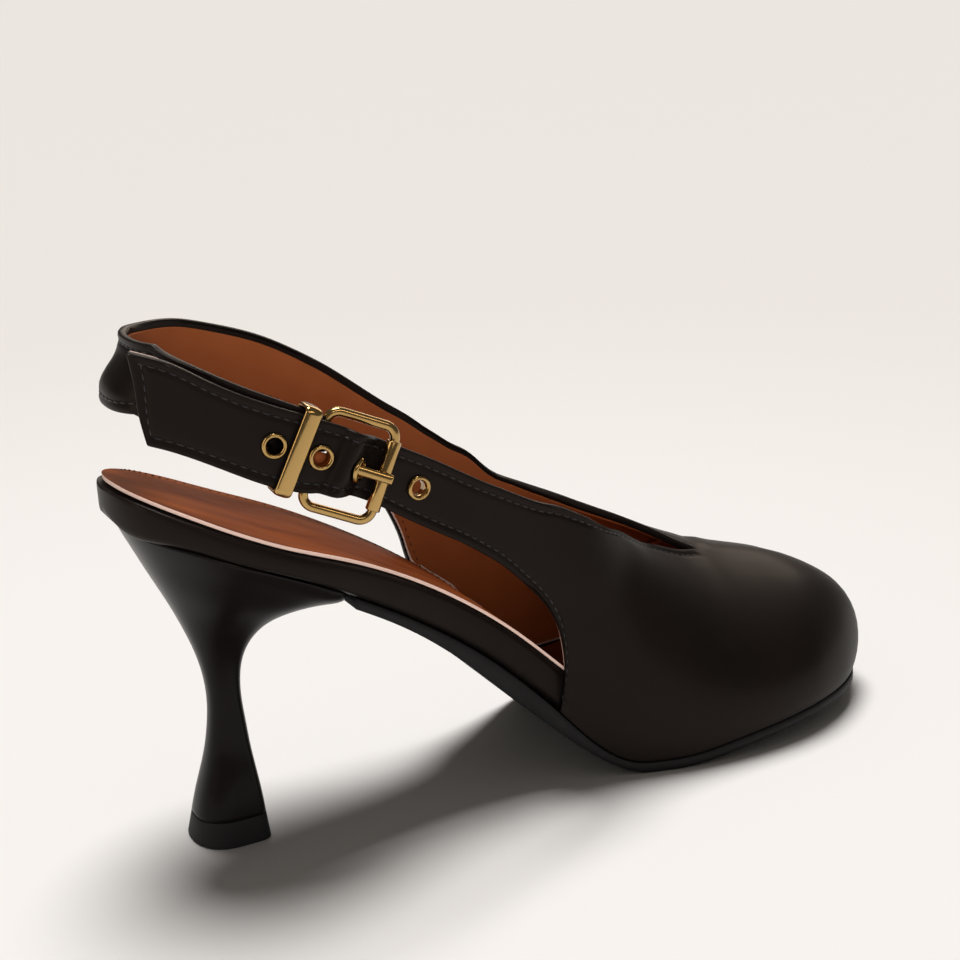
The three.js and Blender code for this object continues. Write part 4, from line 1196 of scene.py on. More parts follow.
def cut(obj, tool):
    """Takes a tool out of a piece for good."""
    modifier = obj.modifiers.new("Cut", "BOOLEAN")
    modifier.object = tool
    modifier.operation = "DIFFERENCE"
    modifier.solver = "MANIFOLD"
    whole = obj.data
    obj.data = bpy.data.meshes.new_from_object(obj.evaluated_get(bpy.context.evaluated_depsgraph_get()))
    obj.modifiers.clear()
    bpy.data.meshes.remove(whole)


LINING_FACES = (-0.5, -0.03)


def make_upper():
    bm = sheet_of_surfaces()
    wall_of(bm, 0.0, WALL, relief=True)
    round_rims(bm, bpy.context.scene.pump_finishes.rim_radius / MM, test=above_feather)
    leather = finished(bm, "upper_leather", material_of("leather"))
    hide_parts("upper")
    bm = sheet_of_surfaces(lining_inset)
    wall_of(bm, *LINING_FACES)
    lining = finished(bm, "upper_lining", [material_of("lining"), material_of("edge")])
    paint_rim(lining)
    tool = hole_cutters()
    cut(leather, tool)
    cut(lining, tool)
    bpy.data.objects.remove(tool)


RIM_FACE_WIDTH = 0.9
RIM_TURN = 0.85
PALE_FROM = 40.0
PALE_RISE = 0.78
TAIL_END = (2.0, -14.0)


def paint_rim(obj):
    """The narrow faces of a sheet's rim take the second material, the cut edge."""
    points = obj.data.vertices
    for polygon in obj.data.polygons:
        place = polygon.center / MM
        tail = place.x < TAIL_END[0] and place.y < TAIL_END[1]
        rise = place.z - seat_top(clamp01(share_at(place.x)))
        if not tail and (place.x < PALE_FROM or rise > PALE_RISE * SLING_RISE):
            continue
        turn = min(polygon.normal.dot(points[i].normal) for i in polygon.vertices)
        corners = [points[i].co for i in polygon.vertices]
        shortest = min((a - b).length for a, b in zip(corners, corners[1:] + corners[:1]))
        if turn < RIM_TURN and shortest < RIM_FACE_WIDTH * MM:
            polygon.material_index = 1


LOOP_FOLD = 0.25


def make_loops():
    """The sling's end, folded round the hinge bar in two loops beside the tongue."""
    bm = bmesh.new()
    half_slot = PRONG_WIDTH / 2 + GAP
    inner = BAR_RADIUS + GAP / 2
    for start, end in ((-LOOP_LENGTH / 2, -half_slot), (half_slot, LOOP_LENGTH / 2)):
        outline = [(inner, start), (LOOP_RADIUS - LOOP_FOLD, start), (LOOP_RADIUS, start + LOOP_FOLD)]
        outline += [(LOOP_RADIUS, end - LOOP_FOLD), (LOOP_RADIUS - LOOP_FOLD, end), (inner, end)]
        spun(bm, outline)
    merge(bm)
    onto_bar(bm, HINGE_ALONG, HINGE_OUT)
    to_frame(bm, bm.verts[:], basis(BUCKLE, FRAME_DROP))
    piece = finished(bm, "sling_loops", material_of("leather"))


# Stitches, each a small capsule that lies half in its groove. The dots are the thread's under side, their
# darker brown partly painted shade of the stitch holes

STITCH_RADIUS = 0.27
STITCH_FLATNESS = 0.8
THREAD_RISE = 0.12
ACROSS_STEP = 0.01
TAIL_LENGTH = -52.5
END_STEPS = 14
INSOLE_STITCH_INSET = 3.2
REAR_STITCH_INSET = 3.4
INSOLE_SEAM = (0.02, 0.5, 90)
INSOLE_THREAD_LIFT = 0.02
THREAD_LIFT = 0.05
DOT = 1.1
DOT_GAPS = {"quarter": 1.5, "insole": 1.7}


def evenly(points, spacing):
    """Points an even distance apart along a line, with the line's direction at each."""
    found = []
    carried = spacing / 2
    for a, b in zip(points, points[1:]):
        length = (b - a).length
        while carried < length:
            found.append((a.lerp(b, carried / length), (b - a).normalized()))
            carried += spacing
        carried -= length
    return found


def add_stitches(bm, line, outs, stitch, gap):
    """Stitches along a line. outs gives the surface's direction at each of the line's points."""
    near = list(zip(line, outs))
    for point, along in evenly(line, stitch + gap):
        out = min(near, key=lambda pair: (pair[0] - point).length_squared)[1]
        side = out.cross(along).normalized()
        up = along.cross(side).normalized()
        turn = Matrix((along, side, up)).transposed().to_4x4()
        size = Matrix.Diagonal((stitch / 2 / STITCH_RADIUS, 1, STITCH_FLATNESS, 1))
        made = bmesh.ops.create_uvsphere(bm, u_segments=8, v_segments=6, radius=STITCH_RADIUS * MM)
        place = Matrix.Translation(point * MM)
        bmesh.ops.transform(bm, matrix=place @ turn @ size, verts=made["verts"])


SHOE_MIDDLE = 80.0
SIDE_WEIGHT = 6.0


def line_on(skin, rows, side_of, depth, inset=STITCH_INSET):
    """A line at a distance from a surface's edge, on its outer (WALL) or inner (0) face."""
    points = []
    outs = []
    for k, row in enumerate(rows):
        length = row_length(skin, row)
        w = inset / length if side_of == "low" else 1 - inset / length
        here = skin(row, w)
        after = skin(rows[min(k + 1, len(rows) - 1)], w)
        before = skin(rows[max(k - 1, 0)], w)
        out = (after - before).cross(skin(row, w + ACROSS_STEP) - skin(row, w - ACROSS_STEP)).normalized()
        points.append(here)
        outs.append(out)
    turned_outs = []
    for point, out in zip(points, outs):
        flat = Vector((point.x - SHOE_MIDDLE, point.y * SIDE_WEIGHT, 0))
        turned_outs.append(out if out.dot(flat) > 0 else -out)
    return [p + o * depth for p, o in zip(points, turned_outs)], turned_outs


def make_stitches():
    thread = bmesh.new()
    settings = bpy.context.scene.pump_finishes
    seam = (settings.stitch_length / MM, settings.stitch_gap / MM)
    surfaces = {(name, side): (rows, skin) for name, side, rows, skin in upper_surfaces()}
    sunk = WALL - GROOVE_DEPTH + THREAD_RISE
    for name, side, edges in (
        ("strap", "lateral", ("low", "high")),
        ("quarter", "medial", ("low", "high")),
        ("back", "medial", ("low", "high")),
        ("sling_end", "lateral", ("low", "high")),
        ("wing", "lateral", ("high",)),
        ("wing", "medial", ("high",)),
    ):
        rows, skin = surfaces[(name, side)]
        if name == "strap":
            rows = [row for row in rows if along_of(row) > TAIL_LENGTH]
        for edge in edges:
            line, outs = line_on(skin, rows, edge, sunk)
            add_stitches(thread, line, outs, *seam)
    rows, skin = surfaces[("strap", "lateral")]
    add_end_stitches(thread, rows, skin, sunk, seam)
    piece = finished(thread, "upper_stitches", material_of("thread"))
    make_inner_stitches(surfaces)


def add_end_stitches(bm, rows, skin, depth, seam):
    """The row of stitches across the strap's free end."""
    end = skin(rows[-1], 0.5)
    inset_row = min(rows, key=lambda row: abs((skin(row, 0.5) - end).length - STITCH_INSET))
    length = row_length(skin, inset_row)
    margin = STITCH_INSET / length
    points = []
    outs = []
    for w in steps_between(margin, 1 - margin, END_STEPS):
        here = skin(inset_row, w)
        ahead = skin(inset_row - SMALL_ROW, w) - here
        up = skin(inset_row, w + ACROSS_STEP) - skin(inset_row, w - ACROSS_STEP)
        out = ahead.cross(up).normalized()
        points.append(here + out * depth)
        outs.append(out)
    add_stitches(bm, points, outs, *seam)


def make_inner_stitches(surfaces):
    """The thread's under side, which shows on the lining and on the insole's far edge, in a darker brown
    that is partly painted shade of the stitch holes.
    """
    thread = bmesh.new()
    rows, skin = surfaces[("quarter", "medial")]
    line, outs = line_on(skin, rows, "low", LINING_FACES[0] - THREAD_LIFT, REAR_STITCH_INSET)
    add_stitches(thread, line, outs, DOT, DOT_GAPS["quarter"])
    line = []
    for share in steps_between(*INSOLE_SEAM):
        x, y = plan_point("medial", share, -INSOLE_INSET - INSOLE_STITCH_INSET)
        line.append(Vector((x, y, seat_top(share) + INSOLE_THREAD_LIFT)))
    add_stitches(thread, line, [Vector((0, 0, 1))] * len(line), DOT, DOT_GAPS["insole"])
    # the dots' darker brown is the thread's own colour plus painted shade of their stitch holes
    piece = finished(thread, "inner_stitches", material_of("tan_thread_and_painted_hole_shade"))


# The sole's slabs

SLAB_FLAT = 1.16
SLAB_ROWS = 150
AROUND = 16
BED_AROUND = 20
BED_SQUARES = (6, 5)
INSOLE_SQUARES = (12, 12)
OUTSOLE_SQUARES = (10, 10)
OUTSOLE_ROWS = 130
OUTSOLE_RUN_IN = 0.1
PALE_SLOPE = 0.55


def slab_section(share, margins, top, under, squares, columns=AROUND):
    """One ring of a slab, with its margins and the squareness of its top and its underside."""
    lateral = plan_point("lateral", share, margins[0])
    medial = plan_point("medial", share, margins[1])
    middle = (top + under) / 2
    half = (top - under) / 2

    def corner(turn, square, sign):
        across = -squared(math.cos(turn), square)
        x = mix(lateral[0], medial[0], (across + 1) / 2)
        y = mix(lateral[1], medial[1], (across + 1) / 2)
        height = min(1.0, SLAB_FLAT * squared(math.sin(turn), square))
        return Vector((x, y, middle + sign * half * height))

    upper = [corner(math.pi * j / columns, squares[0], 1) for j in range(columns + 1)]
    lower = [corner(math.pi * j / columns, squares[1], -1) for j in range(columns + 1)]
    return upper + lower[::-1][1:]


def slab_rows(count, start=0.0, end=1.0):
    """Places along a slab, close together at its round ends."""
    return [mix(start, end, 0.5 - 0.5 * math.cos(math.pi * i / count)) for i in range(count + 1)]


def add_slab(bm, rings):
    add_grid(bm, len(rings) - 1, len(rings[0]) - 1, lambda i, j: rings[i][j])
    merge(bm)


def close_ends(bm):
    bmesh.ops.holes_fill(bm, edges=[edge for edge in bm.edges if edge.is_boundary])


BED_END_ROUND = 0.025
BED_END_DROP = 0.12
BED_END_LIFT = 0.5


def make_footbed():
    """The platform and seat, wrapped in black leather."""
    rings = []
    for share in slab_rows(SLAB_ROWS):
        bulge = BED_BULGE * ease((BULGE_END - share) / BULGE_FADE)
        end = 1 - math.sqrt(1 - clamp01(1 - share / BED_END_ROUND) ** 2)
        depth = bed_top(share) - bed_under(share)
        top = bed_top(share) - BED_END_DROP * depth * end
        under = bed_under(share) + BED_END_LIFT * depth * end
        rings.append(slab_section(share, (bulge, bulge), top, under, BED_SQUARES, BED_AROUND))
    bm = bmesh.new()
    add_slab(bm, rings)
    piece = finished(bm, "footbed_wrap", material_of("leather"))
    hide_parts("footbed")


def make_insole():
    """The lining sock, a flat sheet with a pale cut edge."""
    rings = []
    margins = (-INSOLE_INSET, -INSOLE_INSET)
    for share in slab_rows(SLAB_ROWS):
        top = seat_top(share)
        rings.append(slab_section(share, margins, top, top - INSOLE, INSOLE_SQUARES))
    bm = bmesh.new()
    add_slab(bm, rings)
    piece = finished(bm, "insole_sock", [material_of("insole"), material_of("edge")])
    for polygon in piece.data.polygons:
        if polygon.normal.z < PALE_SLOPE:
            polygon.material_index = 1
    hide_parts("insole")


def make_outsole():
    """The rubber sole, from the heel's breast to the toe."""
    lip = WALL + 2 * GAP
    start = BREAST_AT + GAP / BED_LENGTH
    rings = []
    shares = slab_rows(OUTSOLE_ROWS, start - OUTSOLE_RUN_IN, 1.0)
    for share in [start] + [share for share in shares if share > start]:
        margins = []
        for end in (LATERAL_END, MEDIAL_END):
            margins.append(mix(-EDGE_INSET, lip, ease((share - end + SOLE_WIDENING) / SOLE_WIDENING)))
        rings.append(slab_section(share, margins, sole_top(share), sole_under(share), OUTSOLE_SQUARES))
    bm = bmesh.new()
    add_slab(bm, rings)
    close_ends(bm)
    piece = finished(bm, "rubber_outsole", material_of("rubber"))
    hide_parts("outsole")


# The heel

HEEL = table(
    "at back front half tilt square",
    (0, -0.405, 0.525, 0.43, 0, 6),
    (0.065, -0.335, 0.515, 0.4, 0, 5),
    (0.15, -0.23, 0.488, 0.345, 0, 4),
    (0.24, -0.135, 0.46, 0.275, 0, 3.2),
    (0.33, -0.072, 0.44, 0.236, 0, 2.7),
    (0.42, -0.043, 0.418, 0.219, 0, 2.5),
    (0.51, -0.067, 0.433, 0.23, 0.06, 2.5),
    (0.59, -0.139, 0.5, 0.281, 0.2, 2.7),
    (0.67, -0.264, 0.645, 0.388, 0.42, 3),
    (0.75, -0.437, 0.865, 0.562, 0.66, 3.4),
    (0.83, -0.643, 1.14, 0.787, 0.85, 4.2),
    (0.91, -0.83, 1.5, 0.99, 0.96, 5),
    (0.965, -0.945, 1.73, 1.13, 1, 5.5),
    (1, -1, 1.75, 1.2, 1, 6),
)
heel_shape = {name: curve(HEEL, name) for name in ("back", "front", "half", "tilt", "square")}
HEEL_MIDDLE = 0.55
HEEL_BACK_SQUARE = 2.3
HEEL_SIDES = 96
HEEL_ROWS = 90
TOP_POWER = 8


def heel_ring(back, front, half, square, level_at):
    """A cross-section of the heel: flat at the breast and round at the back."""
    centre = mix(back, front, HEEL_MIDDLE)
    ring = []
    for j in range(HEEL_SIDES + 1):
        turn = 2 * math.pi * (j + 0.5) / HEEL_SIDES
        ahead = math.cos(turn) > 0
        power = square if ahead else HEEL_BACK_SQUARE
        reach = front - centre if ahead else back - centre
        x = centre + reach * abs(squared(math.cos(turn), power))
        y = half * squared(math.sin(turn), power)
        ring.append(Vector((x, y, level_at(x, centre))))
    return ring


def make_heel():
    bottom = LIFT + GAP
    top_level = sole_top(BREAST_AT / 2)
    rings = []
    for at in steps_between(0, 1, HEEL_ROWS):
        tilt = clamp01(heel_shape["tilt"](at))
        level = mix(bottom, top_level, at)

        def level_at(x, centre):
            seat = sole_top(clamp01(share_at(x)))
            middle = sole_top(share_at(centre))
            return level + tilt * (seat - middle + at * (middle - top_level)) + GAP * at**TOP_POWER

        back = heel_shape["back"](at) * LIFT_LENGTH
        front = min(heel_shape["front"](at) * LIFT_LENGTH, x_at(BREAST_AT))
        half = heel_shape["half"](at) * LIFT_WIDTH
        rings.append(heel_ring(back, front, half, heel_shape["square"](at), level_at))
    bm = bmesh.new()
    add_slab(bm, rings)
    close_ends(bm)
    piece = finished(bm, "heel_block", material_of("lacquer"))
    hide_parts("heel")


LIFT_RIM = 0.4
PRONG_RIM = 0.3
SHARP_ANGLE = 50
LIFT_ROWS = 4


def make_top_lift():
    start = HEEL[0]
    rings = []
    for at in steps_between(0, 1, LIFT_ROWS):
        back = start["back"] * LIFT_LENGTH - LIFT_FLARE * (1 - at)
        front = start["front"] * LIFT_LENGTH + LIFT_FRONT_FLARE * (1 - at)
        half = start["half"] * LIFT_WIDTH + LIFT_FLARE * (1 - at)
        rings.append(heel_ring(back, front, half, start["square"], lambda x, centre: at * LIFT))
    bm = bmesh.new()
    add_slab(bm, rings)
    close_ends(bm)
    round_rims(bm, LIFT_RIM, SHARP_ANGLE)
    piece = finished(bm, "top_lift_rubber", material_of("rubber"))
    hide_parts("top_lift")


# The gold fittings, in the buckle's own axes


def to_frame(bm, verts, matrix):
    place = matrix.copy()
    place.translation = matrix.translation * MM
    bmesh.ops.transform(bm, matrix=place, verts=verts)


def onto_bar(bm, along, out):
    """Turns rings from the Z axis onto one of the buckle's bars."""
    turn = Matrix.Rotation(-math.pi / 2, 4, "X")
    turn.translation = Vector((along, 0, out)) * MM
    bmesh.ops.transform(bm, matrix=turn, verts=bm.verts[:])


def squared(value, square):
    """A sine or cosine, pushed outward the way a rounded square is."""
    return math.copysign(abs(value) ** (2 / square), value)


def rounded_path(half_along, half_across, corner, out_at, steps=10):
    path = []
    for quarter, (a, b) in enumerate(((1, 1), (-1, 1), (-1, -1), (1, -1))):
        for i in range(steps + 1):
            turn = math.pi / 2 * (quarter + i / steps)
            along = a * (half_along - corner) + corner * math.cos(turn)
            across = b * (half_across - corner) + corner * math.sin(turn)
            path.append(Vector((along, across, out_at(along))))
    return path


def swept(bm, path, half_width, half_depth, square, closed=True, sides=24):
    """A rounded bar swept along a path; its section may be flatter than round."""
    rings = []
    count = len(path)
    for i, point in enumerate(path):
        before = path[i - 1] if closed or i else path[0]
        after = path[(i + 1) % count] if closed or i < count - 1 else path[-1]
        tangent = (after - before).normalized()
        side = tangent.cross(Vector((0, 0, 1))).normalized()
        lift = side.cross(tangent).normalized()
        ring = []
        for turn in steps_between(0, 2 * math.pi, sides):
            c, s = math.cos(turn), math.sin(turn)
            across = squared(c, square) * half_width
            depth = squared(s, square) * half_depth
            ring.append(point + side * across + lift * depth)
        rings.append(ring)
    if closed:
        rings.append(rings[0])
    add_grid(bm, len(rings) - 1, sides, lambda i, j: rings[i][j])


def spun(bm, profile_points, sides=48):
    """A ring turned from a closed outline of radius and height, round the Z axis."""
    verts = [bm.verts.new((radius * MM, 0, height * MM)) for radius, height in profile_points]
    edges = [bm.edges.new((a, b)) for a, b in zip(verts, verts[1:] + verts[:1])]
    bmesh.ops.spin(
        bm,
        geom=verts + edges,
        cent=(0, 0, 0),
        axis=(0, 0, 1),
        angle=2 * math.pi,
        steps=sides,
        use_merge=True,
    )


WIRE_WIDTH = 1.18
WIRE_DEPTH = 1.1
WIRE_SQUARE = 2.3
FLAT_SQUARE = 2.6
PRONG_HALF = 1.35
PRONG_ROOT = 0.4
PRONG_REACH = 0.55
PRONG_STEPS = 24
PRONG_SIDES = 32
KEEPER_CORNER = 1.1
ROLLER_ROUND = 0.3
ROLLER_CHAMFER = 0.1
TUBE_FRONT = 0.05
LIP_EDGE = 0.12
LIP_BASE = 0.15
LIP_RISE = 0.95
LIP_STEPS = 12
TUBE_BACK = 0.2


def make_buckle_frame():
    out_at = lambda along: mix(HINGE_OUT, FRONT_OUT, (along - HINGE_ALONG) / BAR_SPACING)
    path = rounded_path(BAR_SPACING / 2, FRAME_INNER / 2 + BAR_RADIUS, FRAME_CORNER, out_at)
    bm = bmesh.new()
    swept(bm, path, BAR_RADIUS * WIRE_WIDTH, BAR_RADIUS * WIRE_DEPTH, WIRE_SQUARE)
    merge(bm)
    to_frame(bm, bm.verts[:], basis(BUCKLE, FRAME_DROP))
    piece = finished(bm, "buckle_bow", material_of("gold"))
    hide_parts("buckle_frame")


def make_roller():
    inner = BAR_RADIUS + GAP / 2
    half = (FRAME_INNER - 2 * FRAME_CORNER + FRAME_WIRE) / 2
    turned_in = ((ROLLER_ROUND, 0), (ROLLER_CHAMFER, ROLLER_CHAMFER), (0, ROLLER_ROUND))
    outline = [(inner, -half)]
    outline += [(ROLLER_RADIUS - a, -half + b) for a, b in turned_in]
    outline += [(ROLLER_RADIUS - a, half - b) for a, b in reversed(turned_in)]
    outline.append((inner, half))
    bm = bmesh.new()
    spun(bm, outline)
    merge(bm)
    onto_bar(bm, FRONT_ALONG, FRONT_OUT)
    to_frame(bm, bm.verts[:], basis(BUCKLE, FRAME_DROP))
    piece = finished(bm, "buckle_roller", material_of("gold"))
    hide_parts("roller")


def make_prong():
    """The tongue: an eye round the hinge and a flattened rod that ends over the roller."""
    bm = bmesh.new()
    outer = LOOP_RADIUS - GAP
    inner = BAR_RADIUS + GAP / 2
    half = PRONG_WIDTH / 2
    spun(bm, [(inner, -half), (outer, -half), (outer, half), (inner, half)], PRONG_SIDES)
    onto_bar(bm, HINGE_ALONG, HINGE_OUT)
    path = []
    start = HINGE_ALONG + BAR_RADIUS + PRONG_ROOT
    for along in steps_between(start, FRONT_ALONG + ROLLER_RADIUS * PRONG_REACH, PRONG_STEPS):
        path.append(Vector((along, 0, PRONG_START + PRONG_SLOPE * (along - HINGE_ALONG))))
    swept(bm, path, PRONG_HALF, PRONG_WIRE / 2, FLAT_SQUARE, closed=False)
    close_ends(bm)
    merge(bm)
    round_rims(bm, PRONG_RIM, SHARP_ANGLE)
    to_frame(bm, bm.verts[:], basis(BUCKLE, FRAME_DROP))
    piece = finished(bm, "buckle_tongue", material_of("gold"))
    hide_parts("prong")


KEEPER_CROWN = 1.9
KEEPER_SIDES = 20
KEEPER_TURNS = 6


def make_keeper():
    """The metal loop: a flat band bent round the sling and the strap."""
    half_across = KEEPER_HEIGHT / 2 + KEEPER_PLATE / 2
    half_out = (2 * WALL + LAYER_GAP + KEEPER_ROOM) / 2 + KEEPER_PLATE / 2
    path = rounded_path(half_across, half_out, KEEPER_CORNER, lambda across: 0, KEEPER_TURNS)
    rings = []
    count = len(path)
    for i, (across, out, _) in enumerate(path):
        tangent = (path[(i + 1) % count] - path[i - 1]).normalized()
        normal = Vector((tangent.y, -tangent.x))
        ring = []
        for turn in steps_between(0, 2 * math.pi, KEEPER_SIDES):
            c, s = math.cos(turn), math.sin(turn)
            width = squared(c, FLAT_SQUARE) * KEEPER_WIDTH / 2
            crown = KEEPER_CROWN if s > 0 else 1.0
            depth = squared(s, FLAT_SQUARE) * crown * KEEPER_PLATE / 2
            ring.append(Vector((width, across + normal.x * depth, out + normal.y * depth)))
        rings.append(ring)
    rings.append(rings[0])
    bm = bmesh.new()
    add_slab(bm, rings)
    turn = Matrix.Rotation(-math.radians(KEEPER_TURN), 4, "Z")
    turn.translation = Vector((0, 0, WALL + LAYER_GAP / 2 + KEEPER_LIFT)) * MM
    bmesh.ops.transform(bm, matrix=turn, verts=bm.verts[:])
    to_frame(bm, bm.verts[:], basis(strap_frame(row_along(-KEEPER_SETBACK))))
    piece = finished(bm, "strap_keeper", material_of("gold"))
    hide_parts("keeper")


def make_eyelet(name, along, drop):
    """A rolled eyelet: a tube with a full round lip outside and a small one inside."""
    inner = EYELET_HOLE / 2
    lip = EYELET / 2
    front = WALL + TUBE_FRONT
    mid = (inner + lip) / 2
    half = (lip - inner) / 2
    outline = [(inner, -LIP_GAP - TUBE_BACK), (inner + EYELET_TUBE + GAP, -LIP_GAP - TUBE_BACK)]
    outline += [(inner + EYELET_TUBE + GAP, -LIP_GAP), (inner + EYELET_TUBE, -LIP_GAP)]
    outline += [(inner + EYELET_TUBE, front), (lip - LIP_EDGE, front)]
    for turn in steps_between(0, math.pi, LIP_STEPS):
        outline.append((mid + half * math.cos(turn), front + LIP_BASE + LIP_RISE * math.sin(turn)))
    bm = bmesh.new()
    spun(bm, outline)
    merge(bm)
    to_frame(bm, bm.verts[:], basis(eyelet_place(along, drop)))
    piece = finished(bm, "ring_" + name, material_of("gold"))
    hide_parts(name)


# Camera, light and floor. The camera's place comes from matching the shoe's own points to the picture

IMAGE = 960
CAMERA = {"azimuth": -26.20, "elevation": 17.91, "roll": -3.07, "distance": 550.5, "focal_px": 1893.0}
TARGET = Vector((87.3, 0, 88.5))
SENSOR = 36.0


def make_camera():
    azimuth = math.radians(CAMERA["azimuth"])
    elevation = math.radians(CAMERA["elevation"])
    back = Vector(
        (
            math.sin(azimuth) * math.cos(elevation),
            -math.cos(azimuth) * math.cos(elevation),
            math.sin(elevation),
        )
    )
    right = (-back).cross(Vector((0, 0, 1))).normalized()
    up = right.cross(-back).normalized()
    roll = math.radians(CAMERA["roll"])
    turned_right = right * math.cos(roll) + up * math.sin(roll)
    turned_up = up * math.cos(roll) - right * math.sin(roll)
    data = bpy.data.cameras.new("camera")
    data.sensor_width = SENSOR
    data.lens = SENSOR * CAMERA["focal_px"] / IMAGE
    data.clip_start = 0.01
    data.clip_end = 20
    camera = bpy.data.objects.new("camera", data)
    bpy.context.scene.collection.objects.link(camera)
    turn = Matrix((turned_right, turned_up, back)).transposed().to_4x4()
    camera.matrix_world = Matrix.Translation((TARGET + back * CAMERA["distance"]) * MM) @ turn
    bpy.context.scene.camera = camera


SUN = {"azimuth": 24.0, "elevation": 73.0, "strength": 3.05, "spread": 27.0}
GLEAMS = table(
    "name x y z width height power",
    ("long_softbox", 520, 540, 400, 700, 220, 1.7),
    ("side_softbox", -640, -120, 420, 260, 620, 1.1),
    ("front_strip", 120, -640, 520, 500, 90, 0.6),
)
FILLS = table(
    "name x y z width height power",
    ("front_fill", -260, -620, 340, 600, 500, 3.3),
)


WARM_LIGHT = (1.0, 0.84, 0.7)


def direction(azimuth, elevation):
    """A direction to a light; azimuth turns from +Y to +X."""
    a = math.radians(azimuth)
    e = math.radians(elevation)
    return Vector((math.sin(a) * math.cos(e), math.cos(a) * math.cos(e), math.sin(e)))


def make_lights(floor):
    data = bpy.data.lights.new("high_window", "SUN")
    data.energy = SUN["strength"]
    data.angle = math.radians(SUN["spread"])
    sun = bpy.data.objects.new("high_window", data)
    bpy.context.scene.collection.objects.link(sun)
    sun.rotation_euler = direction(SUN["azimuth"], SUN["elevation"]).to_track_quat("Z", "Y").to_euler()
    for row in GLEAMS:
        gleam = softbox(row)
        gleam.visible_diffuse = False
        gleam.data.color = WARM_LIGHT
    for row in FILLS:
        fill = softbox(row)
        fill.visible_glossy = False
        shaded = bpy.data.collections.new("floor_without_fill")
        shaded.objects.link(floor)
        fill.light_linking.receiver_collection = shaded
        shaded.collection_objects[0].light_linking.link_state = "EXCLUDE"


def softbox(row):
    """A rectangular lamp with a diffuser, turned to the shoe."""
    data = bpy.data.lights.new(row["name"], "AREA")
    data.shape = "RECTANGLE"
    data.size = row["width"] * MM
    data.size_y = row["height"] * MM
    data.energy = row["power"]
    light = bpy.data.objects.new(row["name"], data)
    bpy.context.scene.collection.objects.link(light)
    light.location = Vector((row["x"], row["y"], row["z"])) * MM
    light.rotation_euler = (TARGET * MM - light.location).to_track_quat("-Z", "Y").to_euler()
    return light


FLOOR_HALF = 15.0
NEAR_FLOOR = "#f4f0ec"
FAR_FLOOR = "#e9e4de"
FADE = (0.12, 0.7)


def make_floor():
    """A pale matt floor, a little darker far behind the shoe."""
    bm = bmesh.new()
    bmesh.ops.create_grid(bm, x_segments=1, y_segments=1, size=FLOOR_HALF)
    material, tree, surface = new_material("matt_paper", Roughness=0.95, IOR=1.2)
    place = add_node(tree, "ShaderNodeTexCoord").outputs["Object"]
    away = add_node(tree, "ShaderNodeVectorMath", {0: place}, operation="LENGTH")
    fade = add_node(tree, "ShaderNodeMapRange", {"Value": away.outputs["Value"]}, From_Min=FADE[0])
    fade.interpolation_type = "SMOOTHSTEP"
    fade.inputs["From Max"].default_value = FADE[1]
    varied(tree, surface, "Base Color", fade.outputs["Result"], linear(NEAR_FLOOR), linear(FAR_FLOOR))
    floor = finished(bm, "paper_floor", material, body=None)
    return floor


AMBIENT = 0.14


def make_world():
    """A dim room round the shoe, which the camera sees as pale as the floor."""
    world = bpy.data.worlds.new("studio")
    bpy.context.scene.world = world
    world.use_nodes = True
    tree = world.node_tree
    background = tree.nodes["Background"]
    background.inputs["Color"].default_value = linear(FAR_FLOOR)
    seen = add_node(tree, "ShaderNodeLightPath").outputs["Is Camera Ray"]
    strength = add_node(tree, "ShaderNodeMapRange", {"Value": seen}, To_Min=AMBIENT)
    tree.links.new(strength.outputs["Result"], background.inputs["Strength"])
    bpy.context.scene.view_settings.view_transform = "Standard"


# The add-on


def size(name, description, default, least, most):
    return FloatProperty(
        name=name, description=description, unit="LENGTH", default=default, min=least, max=most
    )


def colour(name, description, hex_colour):
    return FloatVectorProperty(
        name=name, description=description, size=4, subtype="COLOR", default=linear(hex_colour)
    )


class PumpFinishes(bpy.types.PropertyGroup):
    """Sizes and colours that a user may change."""

    stitch_length: size("Stitch", "Length of one stitch", 0.0021, 0.001, 0.005)
    stitch_gap: size("Stitch gap", "Space between two stitches", 0.00075, 0.0003, 0.005)
    rim_radius: size("Rim", "Rounding of the leather's rims", 0.0005, 0.0001, 0.0009)

    leather_colour: colour("Leather", "Colour of the polished upper", "#15100e")
    lining_colour: colour("Lining", "Colour of the lining", "#9f5831")
    insole_colour: colour("Insole", "Colour of the waxed insole", "#88451d")
    edge_colour: colour("Cut edge", "Colour of the lining's bare edge", "#e3c3b4")
    gold_colour: colour("Gold", "Colour of the plated fittings", "#b8975f")


class PUMP_OT_upper(bpy.types.Operator):
    """Make the leather upper and its lining"""

    bl_idname = "pump.upper"
    bl_label = "Upper"

    def execute(self, context):
        make_upper()
        make_loops()
        return {"FINISHED"}


class PUMP_OT_stitches(bpy.types.Operator):
    """Make the rows of stitches on the upper, its lining and the insole"""

    bl_idname = "pump.stitches"
    bl_label = "Stitches"

    def execute(self, context):
        make_stitches()
        return {"FINISHED"}


class PUMP_OT_sole(bpy.types.Operator):
    """Make the outsole, the wrapped footbed and the insole"""

    bl_idname = "pump.sole"
    bl_label = "Sole"

    def execute(self, context):
        make_outsole()
        make_footbed()
        make_insole()
        return {"FINISHED"}


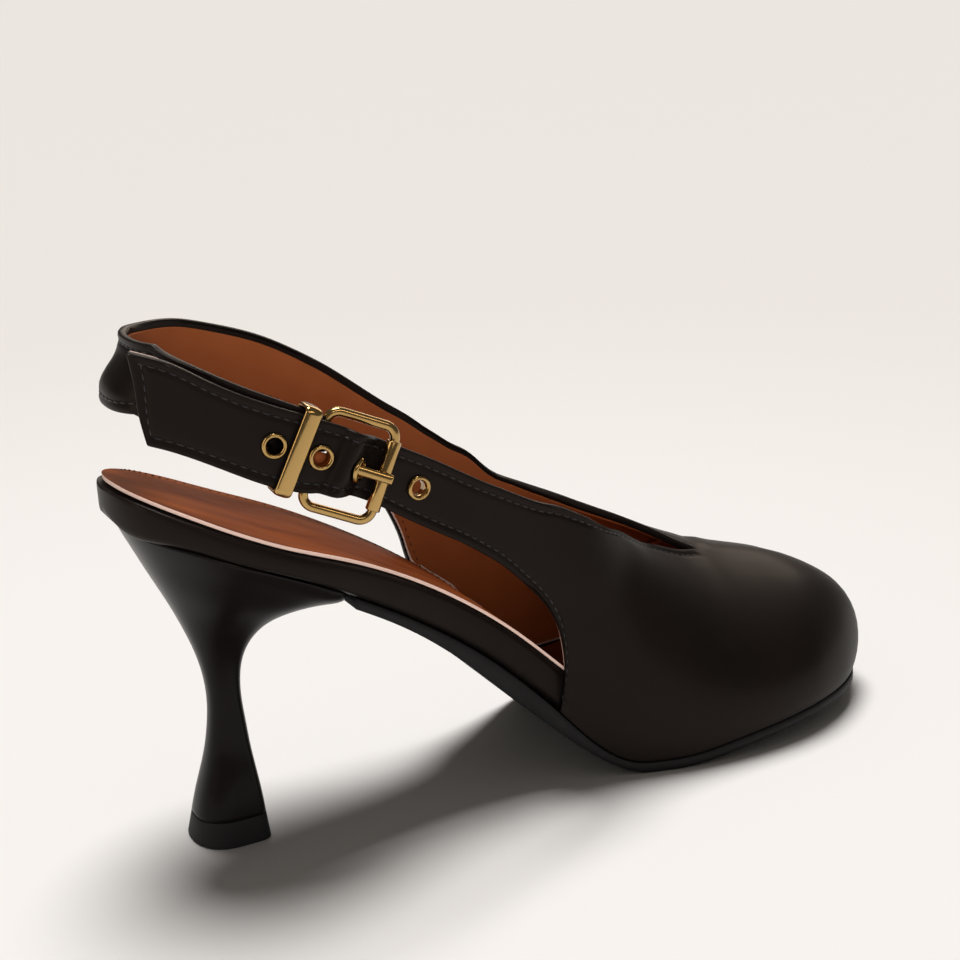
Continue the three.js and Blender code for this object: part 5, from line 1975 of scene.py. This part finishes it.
class PUMP_OT_heel(bpy.types.Operator):
    """Make the heel and its top lift"""

    bl_idname = "pump.heel"
    bl_label = "Heel"

    def execute(self, context):
        make_heel()
        make_top_lift()
        return {"FINISHED"}


class PUMP_OT_buckle(bpy.types.Operator):
    """Make the buckle's bow, roller and tongue, and the strap's keeper"""

    bl_idname = "pump.buckle"
    bl_label = "Buckle"

    def execute(self, context):
        make_buckle_frame()
        make_roller()
        make_prong()
        make_keeper()
        return {"FINISHED"}


class PUMP_OT_eyelets(bpy.types.Operator):
    """Make the four eyelets"""

    bl_idname = "pump.eyelets"
    bl_label = "Eyelets"

    def execute(self, context):
        for name, (along, drop) in EYELETS.items():
            make_eyelet(name, along, drop)
        return {"FINISHED"}


class PUMP_OT_stage(bpy.types.Operator):
    """Make the camera, the lights and the floor"""

    bl_idname = "pump.stage"
    bl_label = "Stage"

    def execute(self, context):
        make_camera()
        make_lights(make_floor())
        make_world()
        return {"FINISHED"}


OPERATORS = (
    PUMP_OT_stage,
    PUMP_OT_sole,
    PUMP_OT_heel,
    PUMP_OT_upper,
    PUMP_OT_stitches,
    PUMP_OT_buckle,
    PUMP_OT_eyelets,
)


class PUMP_PT_panel(bpy.types.Panel):
    """Lists the finishes and the pieces"""

    bl_label = "Slingback pump"
    bl_idname = "PUMP_PT_panel"
    bl_space_type = "VIEW_3D"
    bl_region_type = "UI"
    bl_category = "Pump"

    def draw(self, context):
        for name in PumpFinishes.__annotations__:
            self.layout.prop(context.scene.pump_finishes, name)
        for operator in OPERATORS:
            self.layout.operator(operator.bl_idname)


CLASSES = (PumpFinishes, *OPERATORS, PUMP_PT_panel)


def register():
    for item in CLASSES:
        bpy.utils.register_class(item)
    bpy.types.Scene.pump_finishes = PointerProperty(type=PumpFinishes)


def unregister():
    del bpy.types.Scene.pump_finishes
    for item in reversed(CLASSES):
        bpy.utils.unregister_class(item)


def main():
    register()
    bpy.ops.pump.stage()
    bpy.ops.pump.sole()
    bpy.ops.pump.heel()
    bpy.ops.pump.upper()
    bpy.ops.pump.stitches()
    bpy.ops.pump.buckle()
    bpy.ops.pump.eyelets()


if __name__ == "__main__":
    main()
